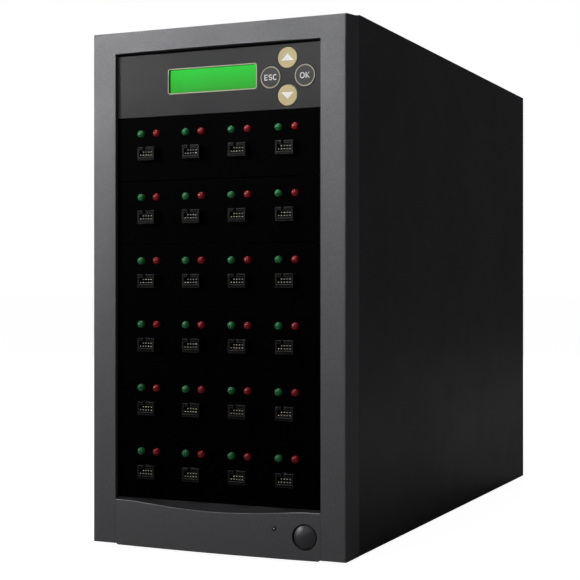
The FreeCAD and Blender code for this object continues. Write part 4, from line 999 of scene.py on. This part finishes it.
low, high, middle = box_of("power_lamp")
profile = [(0, low.y)]
for turn in (0.3, 0.6, 0.9, 1.2, 1.5):
    profile.append((DOME_RADIUS * sin(turn), low.y + 0.5 * MM * (1 - cos(turn))))
profile += [(DOME_RADIUS, high.y), (0, high.y)]
mesh = turned(profile, middle.x, middle.z, 40)
lamp = piece("power_lens", mesh, SMOKED, "chassis")
lamp.data.materials.append(SMOKED_TIP_GLINT)
# the faces at the lens's tip get the painted glint
for polygon in lamp.data.polygons:
    spot = polygon.center - Vector((middle.x, polygon.center.y, middle.z))
    if spot.length < 0.45 * MM and polygon.center.y < middle.y:
        polygon.material_index = 1
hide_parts("power_lamp")


# ---- port lamps


def lamp_mesh(x, z, front, back):
    """A round lamp with a domed nose."""
    radius = 2.45 * MM
    profile = [(0, front)]
    for turn in (0.25, 0.5, 0.75, 1.0, 1.25, 1.45):
        profile.append((radius * sin(turn), front + 1.7 * MM * (1 - cos(turn))))
    profile += [(radius, front + 1.9 * MM), (radius, back), (0, back)]
    return turned(profile, x, z, 32)


for node, material, slot in (
    ("green_lamps", GREEN, "green_lens"),
    ("red_lamps", RED, "red_lens"),
):
    low, high, _ = box_of(node)
    meshes = []
    for row in range(ROWS):
        for column in range(COLUMNS):
            x = low.x + LAMP_RADIUS + column * PORT_PITCH
            z = low.z + LAMP_RADIUS + row * ROW_PITCH
            meshes.append(lamp_mesh(x, z, low.y, high.y))
    lenses = piece(node.replace("lamps", "lenses"), joined(meshes), material, "chassis")
    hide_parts(node)


# ---- feet, thumbscrews

FOOT_RADIUS = 8.0 * MM
THUMB_RADIUS = 5.0 * MM
THUMB_HEAD = 6.0 * MM
THUMB_TEETH = 36


def about_z(mesh, x, y):
    """Turns a shape made about y so that its front faces down, about an upright line."""
    mesh.transform(Matrix(((1, 0, 0, x), (0, 0, 1, y), (0, 1, 0, 0), (0, 0, 0, 1))))
    return welded(mesh)


low, high, _ = box_of("rubber_feet")
# how far inside the foot's radius each ring is, and how high, in millimetres
levels = [(3, 0.4), (2.6, 0), (0.9, 0), (0.4, 0.2), (0.1, 0.8), (0, 1.6)]
profile = [(0, 0.4 * MM)] + [(FOOT_RADIUS - inset * MM, z * MM) for inset, z in levels]
profile += [(FOOT_RADIUS - 0.2 * MM, high.z - low.z), (0, high.z - low.z)]
meshes = []
for x in (low.x + FOOT_RADIUS, high.x - FOOT_RADIUS):
    for y in (low.y + FOOT_RADIUS, high.y - FOOT_RADIUS):
        meshes.append(about_z(turned(profile, 0, 0, 48), x, y))
feet = piece("round_feet", joined(meshes), RUBBER, "chassis")
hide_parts("rubber_feet")

low, high, _ = box_of("thumbscrews")
thumb_places = [
    (x, z)
    for x in (low.x + THUMB_RADIUS, high.x - THUMB_RADIUS)
    for z in (low.z + THUMB_RADIUS, high.z - THUMB_RADIUS)
]


def thumb_meshes(x, z, tip, front):
    """A knurled head with a driver slot, and a plain shank."""
    back = front - THUMB_HEAD
    levels = [
        (0.25 * MM, back, 0.0),
        (0.0, back + 0.5 * MM, 1.0),
        (0.0, front - 0.9 * MM, 1.0),
        (0.45 * MM, front - 0.25 * MM, 0.5),
        (1.0 * MM, front, 0.0),
    ]
    rows = []
    for inset, y, depth in levels:
        row = []
        for i in range(THUMB_TEETH * 2):
            reach = THUMB_RADIUS - inset - 0.28 * MM * depth * (i % 2)
            turn = pi * i / THUMB_TEETH
            row.append((x + reach * cos(turn), y, z + reach * sin(turn)))
        rows.append(row)
    groove = bar(x, z, 7 * MM, 0.6 * MM, front - 1.4 * MM, front + 2 * MM, 0)
    thick = 1.9 * MM
    shank = [(0, tip), (1.5 * MM, tip), (thick, tip + 0.5 * MM), (thick, back), (0, back)]
    return [without(strip_solid(rows), groove), turned(shank, x, z, 24)]


meshes = [mesh for x, z in thumb_places for mesh in thumb_meshes(x, z, low.y, high.y)]
thumbs = piece("knurled_screws", joined(meshes), SCREW, "chassis", crease=28)
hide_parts("thumbscrews")


# ---- rear panel, fans, guard, screws

FAN_BORE = 38.2 * MM
FAN_SIZE = 80 * MM
FAN_HOLES = 35.75 * MM
FAN_FLANGE = 4 * MM
BLADES = 7
GUARD_WIRE = 0.75 * MM
GUARD_RINGS = (38.1 * MM, 27.6 * MM, 17.1 * MM)
PAN_RADIUS = 3.2 * MM
PAN_RISE = 2 * MM
TRAY_HEIGHT = 86 * MM
WINDOW_LIP = 3 * MM
WINDOW_TAB = 9 * MM
VENTS = 8
VENT_PITCH = 9 * MM

low, high, middle = box_of("rear_panel")
fan = box_of("rear_fan_frame")[2]
tray_low, tray_high, _ = box_of("psu_cover")
left, right = tray_low.x + WINDOW_LIP, tray_high.x - WINDOW_LIP
bottom, top = tray_low.z + WINDOW_LIP, tray_low.z + TRAY_HEIGHT - WINDOW_LIP
# the power supply's window leaves a tab at each corner for a screw
window = [
    (left + WINDOW_TAB, bottom),
    (right - WINDOW_TAB, bottom),
    (right - WINDOW_TAB, bottom + WINDOW_TAB),
    (right, bottom + WINDOW_TAB),
    (right, top - WINDOW_TAB),
    (right - WINDOW_TAB, top - WINDOW_TAB),
    (right - WINDOW_TAB, top),
    (left + WINDOW_TAB, top),
    (left + WINDOW_TAB, top - WINDOW_TAB),
    (left, top - WINDOW_TAB),
    (left, bottom + WINDOW_TAB),
    (left + WINDOW_TAB, bottom + WINDOW_TAB),
]
loops = [
    round_rect(middle.x, middle.z, high.x - low.x, high.z - low.z, 0),
    window,
    ring(fan.x, fan.z, FAN_BORE, 96),
]
loops += [ring(x, z, 2.1 * MM, 32) for x, z in thumb_places]
for i in range(VENTS):
    z = fan.z - FAN_SIZE / 2 - 26 * MM - VENT_PITCH * i
    loops.append(round_rect(middle.x, z, 90 * MM, 4 * MM, 1.9 * MM, 6))
sheet = plate(loops, low.y, high.y, 0.12 * MM, 1)
back_sheet = piece("pierced_rear_panel", sheet, STEEL, "chassis")
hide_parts("rear_panel")


def fan_corners(x, z):
    """The places of the four screws of a fan about (x, z)."""
    return [(x + sx * FAN_HOLES, z + sz * FAN_HOLES) for sx, sz in CORNERS]


def fan_frame_meshes(node):
    """A fan's square flanges and round duct, with struts, a mount and a bearing at the outlet."""
    low, high, _ = box_of(node)
    x, z = (low.x + high.x) / 2, (low.z + high.z) / 2
    flange = [round_rect(x, z, FAN_SIZE, FAN_SIZE, 4 * MM, 6), ring(x, z, FAN_BORE, 96)]
    flange += [ring(*place, 2.2 * MM, 24) for place in fan_corners(x, z)]
    meshes = [
        plate(flange, low.y, low.y + FAN_FLANGE, 0.3 * MM),
        plate(flange, high.y - FAN_FLANGE, high.y, 0.3 * MM),
    ]
    outer, start, stop = FAN_SIZE / 2, low.y + 1 * MM, high.y - 1 * MM
    duct = [(FAN_BORE, start), (outer, start), (outer, stop), (FAN_BORE, stop), (FAN_BORE, start)]
    meshes.append(welded(turned(duct, x, z, 96)))
    seat, nose = high.y - 3 * MM, high.y - 16 * MM
    near, far, half = 15 * MM, FAN_BORE + 0.5 * MM, 2 * MM
    for sx, sz in ((1, 0), (-1, 0), (0, 1), (0, -1)):
        left, right = sorted((sx * near, sx * far)) if sx else (-half, half)
        bottom, top = sorted((sz * near, sz * far)) if sz else (-half, half)
        corner = (x + right, high.y - 0.1 * MM, z + top)
        meshes.append(block((x + left, seat, z + bottom), corner, 0.4 * MM))
    mount = [
        (0, high.y),
        (15.4 * MM, high.y),
        (16 * MM, high.y - 0.6 * MM),
        (16 * MM, seat),
        (4 * MM, seat),
        (4 * MM, nose),
        (1.58 * MM, nose),
        (1.58 * MM, seat),
        (0, seat),
    ]
    meshes.append(turned(mount, x, z, 64))
    return meshes


def blade_mesh(x, y, z, start):
    """One twisted blade: a helical sheet, thick in the middle and thin at its edges."""
    across, along = 12, 8
    inner, outer = 14.5 * MM, 35.5 * MM
    middle_y, half_rake = 8.0 * MM, 5.6 * MM
    half_turn, sweep = radians(22), radians(14)
    shape = bmesh.new()
    grid = {}
    for side in (-1, 1):
        for i in range(along + 1):
            reach = inner + (outer - inner) * i / along
            share = i / along
            for j in range(across + 1):
                t = 2 * j / across - 1
                turn = start + half_turn * t * (1 - 0.12 * share) + sweep * share * share
                thick = (0.25 + 0.55 * (1 - t * t)) * MM
                camber = 1.1 * MM * (1 - t * t)
                depth = y + middle_y + half_rake * t + camber + side * thick
                place = (x + reach * cos(turn), depth, z + reach * sin(turn))
                grid[side, i, j] = shape.verts.new(place)
    for i in range(along):
        for j in range(across):
            corners = ((i, j), (i + 1, j), (i + 1, j + 1), (i, j + 1))
            for side in (-1, 1):
                shape.faces.new([grid[(side, *corner)] for corner in corners])
    rim = [(i, 0) for i in range(along)] + [(along, j) for j in range(across)]
    rim += [(i, across) for i in range(along, 0, -1)] + [(0, j) for j in range(across, 0, -1)]
    for first, second in zip(rim, rim[1:] + rim[:1]):
        ends = ((-1, *first), (-1, *second), (1, *second), (1, *first))
        shape.faces.new([grid[end] for end in ends])
    return as_mesh(shape)


def rotor_meshes(node, x, z):
    """A cup hub with its shaft, and the blades."""
    low, high, _ = box_of(node)
    inside = low.y + 2 * MM
    hub = [
        (0, low.y),
        (14.3 * MM, low.y),
        (15.2 * MM, low.y + 0.4 * MM),
        (15.5 * MM, low.y + 1.2 * MM),
        (15.5 * MM, high.y),
        (12 * MM, high.y),
        (12 * MM, inside),
        (1.5 * MM, inside),
        (1.5 * MM, high.y),
        (0, high.y),
    ]
    blades = [blade_mesh(x, low.y, z, 2 * pi * number / BLADES) for number in range(BLADES)]
    return [turned(hub, x, z, 72), *blades]


for node, rotor in (("psu_fan_frame", "psu_fan_rotor"), ("rear_fan_frame", "rear_fan_rotor")):
    middle = box_of(node)[2]
    mesh = joined(fan_frame_meshes(node))
    housing = piece(f"{node}_round", mesh, FAN, "chassis")
    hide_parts(node)
    mesh = joined(rotor_meshes(rotor, middle.x, middle.z))
    wheel = piece(f"{rotor}_wheel", mesh, FAN, rotor, crease=40)
    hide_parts(rotor)

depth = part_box("rear_fan_guard")[0].y + GUARD_WIRE


def wire_ring(x, z, radius, count):
    """A ring of the guard's wire about (x, z)."""
    circle = [(u, depth, v) for u, v in ring(x, z, radius, count)]
    return wire(circle, GUARD_WIRE, closed=True)


meshes = [wire_ring(fan.x, fan.z, radius, 96) for radius in GUARD_RINGS]
reach = FAN_HOLES - 2.2 * MM
for slope in (1, -1):
    start = (fan.x - reach, depth, fan.z - slope * reach)
    stop = (fan.x + reach, depth, fan.z + slope * reach)
    meshes.append(wire([start, stop], GUARD_WIRE))
meshes += [wire_ring(x, z, 2.9 * MM, 32) for x, z in fan_corners(fan.x, fan.z)]
guard = piece("wire_guard", joined(meshes), WIRE, "chassis", crease=60)
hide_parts("rear_fan_guard")


def pan_head(x, z, seat):
    """A pan-head screw with a cross recess that looks to +y."""
    shoulder, top = seat + PAN_RISE * 0.35, seat + PAN_RISE
    crown = [(0, seat), (PAN_RADIUS, seat), (PAN_RADIUS, shoulder)]
    for turn in (0.35, 0.7, 1.05, 1.3):
        crown.append((PAN_RADIUS * cos(turn), shoulder + PAN_RISE * 0.65 * sin(turn)))
    crown.append((0, top))
    head = turned(crown, x, z, 48)
    for half_x, half_z in ((1.7 * MM, 0.375 * MM), (0.375 * MM, 1.7 * MM)):
        head = without(head, bar(x, z, half_x, half_z, top - 1.1 * MM, top + 1 * MM, 0))
    return head


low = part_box("chassis_screws")[0]
meshes = [pan_head(x, z, low.y + 1.5 * MM) for x, z in fan_corners(fan.x, fan.z)]
for x in (tray_low.x + 6 * MM, tray_high.x - 6 * MM):
    for z in (tray_low.z + 6 * MM, tray_low.z + 80 * MM):
        meshes.append(pan_head(x, z, low.y))
screws = piece("cross_head_screws", joined(meshes), SCREW, "chassis", crease=30)
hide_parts("chassis_screws")


# ---- floor, light, camera


def plain(name, shade, glow):
    """A pale backdrop: part diffuse, part its own light where a ray comes straight to it."""
    material = bpy.data.materials.new(name)
    material.use_nodes = True
    tree = material.node_tree
    tree.nodes.clear()
    output = added(tree, "OutputMaterial")
    diffuse = added(tree, "BsdfDiffuse", Color=(shade, shade, shade, 1))
    emission = added(tree, "Emission")
    path = added(tree, "LightPath")
    seen = added(tree, "Math")
    seen.operation = "MULTIPLY"
    seen.inputs[1].default_value = glow
    both = added(tree, "AddShader")
    link = tree.links.new
    link(path.outputs["Is Camera Ray"], seen.inputs[0])
    link(seen.outputs[0], emission.inputs["Strength"])
    link(diffuse.outputs[0], both.inputs[0])
    link(emission.outputs[0], both.inputs[1])
    link(both.outputs[0], output.inputs["Surface"])
    return material


floor_mesh = bpy.data.meshes.new("floor")
floor_mesh.from_pydata(
    [(-30, -30, 0), (30, -30, 0), (30, 30, 0), (-30, 30, 0)], [], [(0, 1, 2, 3)]
)
floor = bpy.data.objects.new("floor", floor_mesh)
floor_mesh.materials.append(plain("floor_white", 0.3, 0.97))
bpy.context.scene.collection.objects.link(floor)

# the sky is white where it is seen and dim where it lights the part
world = bpy.data.worlds.new("studio")
bpy.context.scene.world = world
world.use_nodes = True
tree = world.node_tree
tree.nodes.clear()
output = added(tree, "OutputWorld")
path = added(tree, "LightPath")
straight = added(tree, "Math")
straight.operation = "MAXIMUM"
white = added(tree, "Background", Color=(1, 1, 1, 1), Strength=1.0)
dim = added(tree, "Background", Color=(0.93, 0.95, 1.0, 1), Strength=0.07)
either = added(tree, "MixShader")
link = tree.links.new
link(path.outputs["Is Camera Ray"], straight.inputs[0])
link(path.outputs["Is Transmission Ray"], straight.inputs[1])
link(straight.outputs[0], either.inputs[0])
link(dim.outputs[0], either.inputs[1])
link(white.outputs[0], either.inputs[2])
link(either.outputs[0], output.inputs["Surface"])


def area(name, place, target, width, height, power, spread=180):
    """A soft rectangular lamp that looks at a point."""
    light = bpy.data.lights.new(name, "AREA")
    light.spread = radians(spread)
    light.shape = "RECTANGLE"
    light.size = width
    light.size_y = height
    light.energy = power
    thing = bpy.data.objects.new(name, light)
    thing.location = place
    direction = Vector(target) - Vector(place)
    thing.rotation_euler = direction.to_track_quat("-Z", "Y").to_euler()
    thing.visible_camera = False
    bpy.context.scene.collection.objects.link(thing)


# the bezel stands this far before the plate behind it
BEZEL_DEPTH = 23 * MM
front_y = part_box("front_plate")[0].y - BEZEL_DEPTH
area("key", (-0.2, front_y - 1.1, 0.7), (0.0, front_y, 0.44), 0.5, 0.3, 0.27, 36)
area("key_left", (-0.95, front_y - 0.8, 0.7), (-0.02, front_y, 0.44), 0.5, 0.3, 0.55, 38)
area("left", (-1.15, front_y - 0.85, 0.5), (0.0, front_y, 0.2), 0.7, 0.9, 3.4)
area("over", (-0.15, front_y - 0.32, 1.15), (0.0, front_y, 0.1), 0.5, 0.3, 3.8)
area("top", (-0.35, 0.2, 1.6), (-0.2, 0.1, 0.3), 0.6, 1.2, 3)
area("back", (-0.8, 1.9, 1.1), (-0.1, 0.2, 0.2), 1.3, 1.4, 20)

camera = bpy.data.cameras.new("camera")
camera.lens = 84.898
camera.sensor_width = 36
camera.clip_start = 0.05
camera.clip_end = 40
# one pixel of a picture 580 wide
camera.shift_y = -1 / 580
# the place and the lens that the photo's perspective gives
view = bpy.data.objects.new("camera", camera)
view.location = (0.4066, front_y - 0.7928, 0.1733)
view.rotation_euler = (radians(90.03), 0, radians(23.99))
bpy.context.scene.collection.objects.link(view)
bpy.context.scene.camera = view

bpy.context.scene.view_settings.view_transform = "Standard"
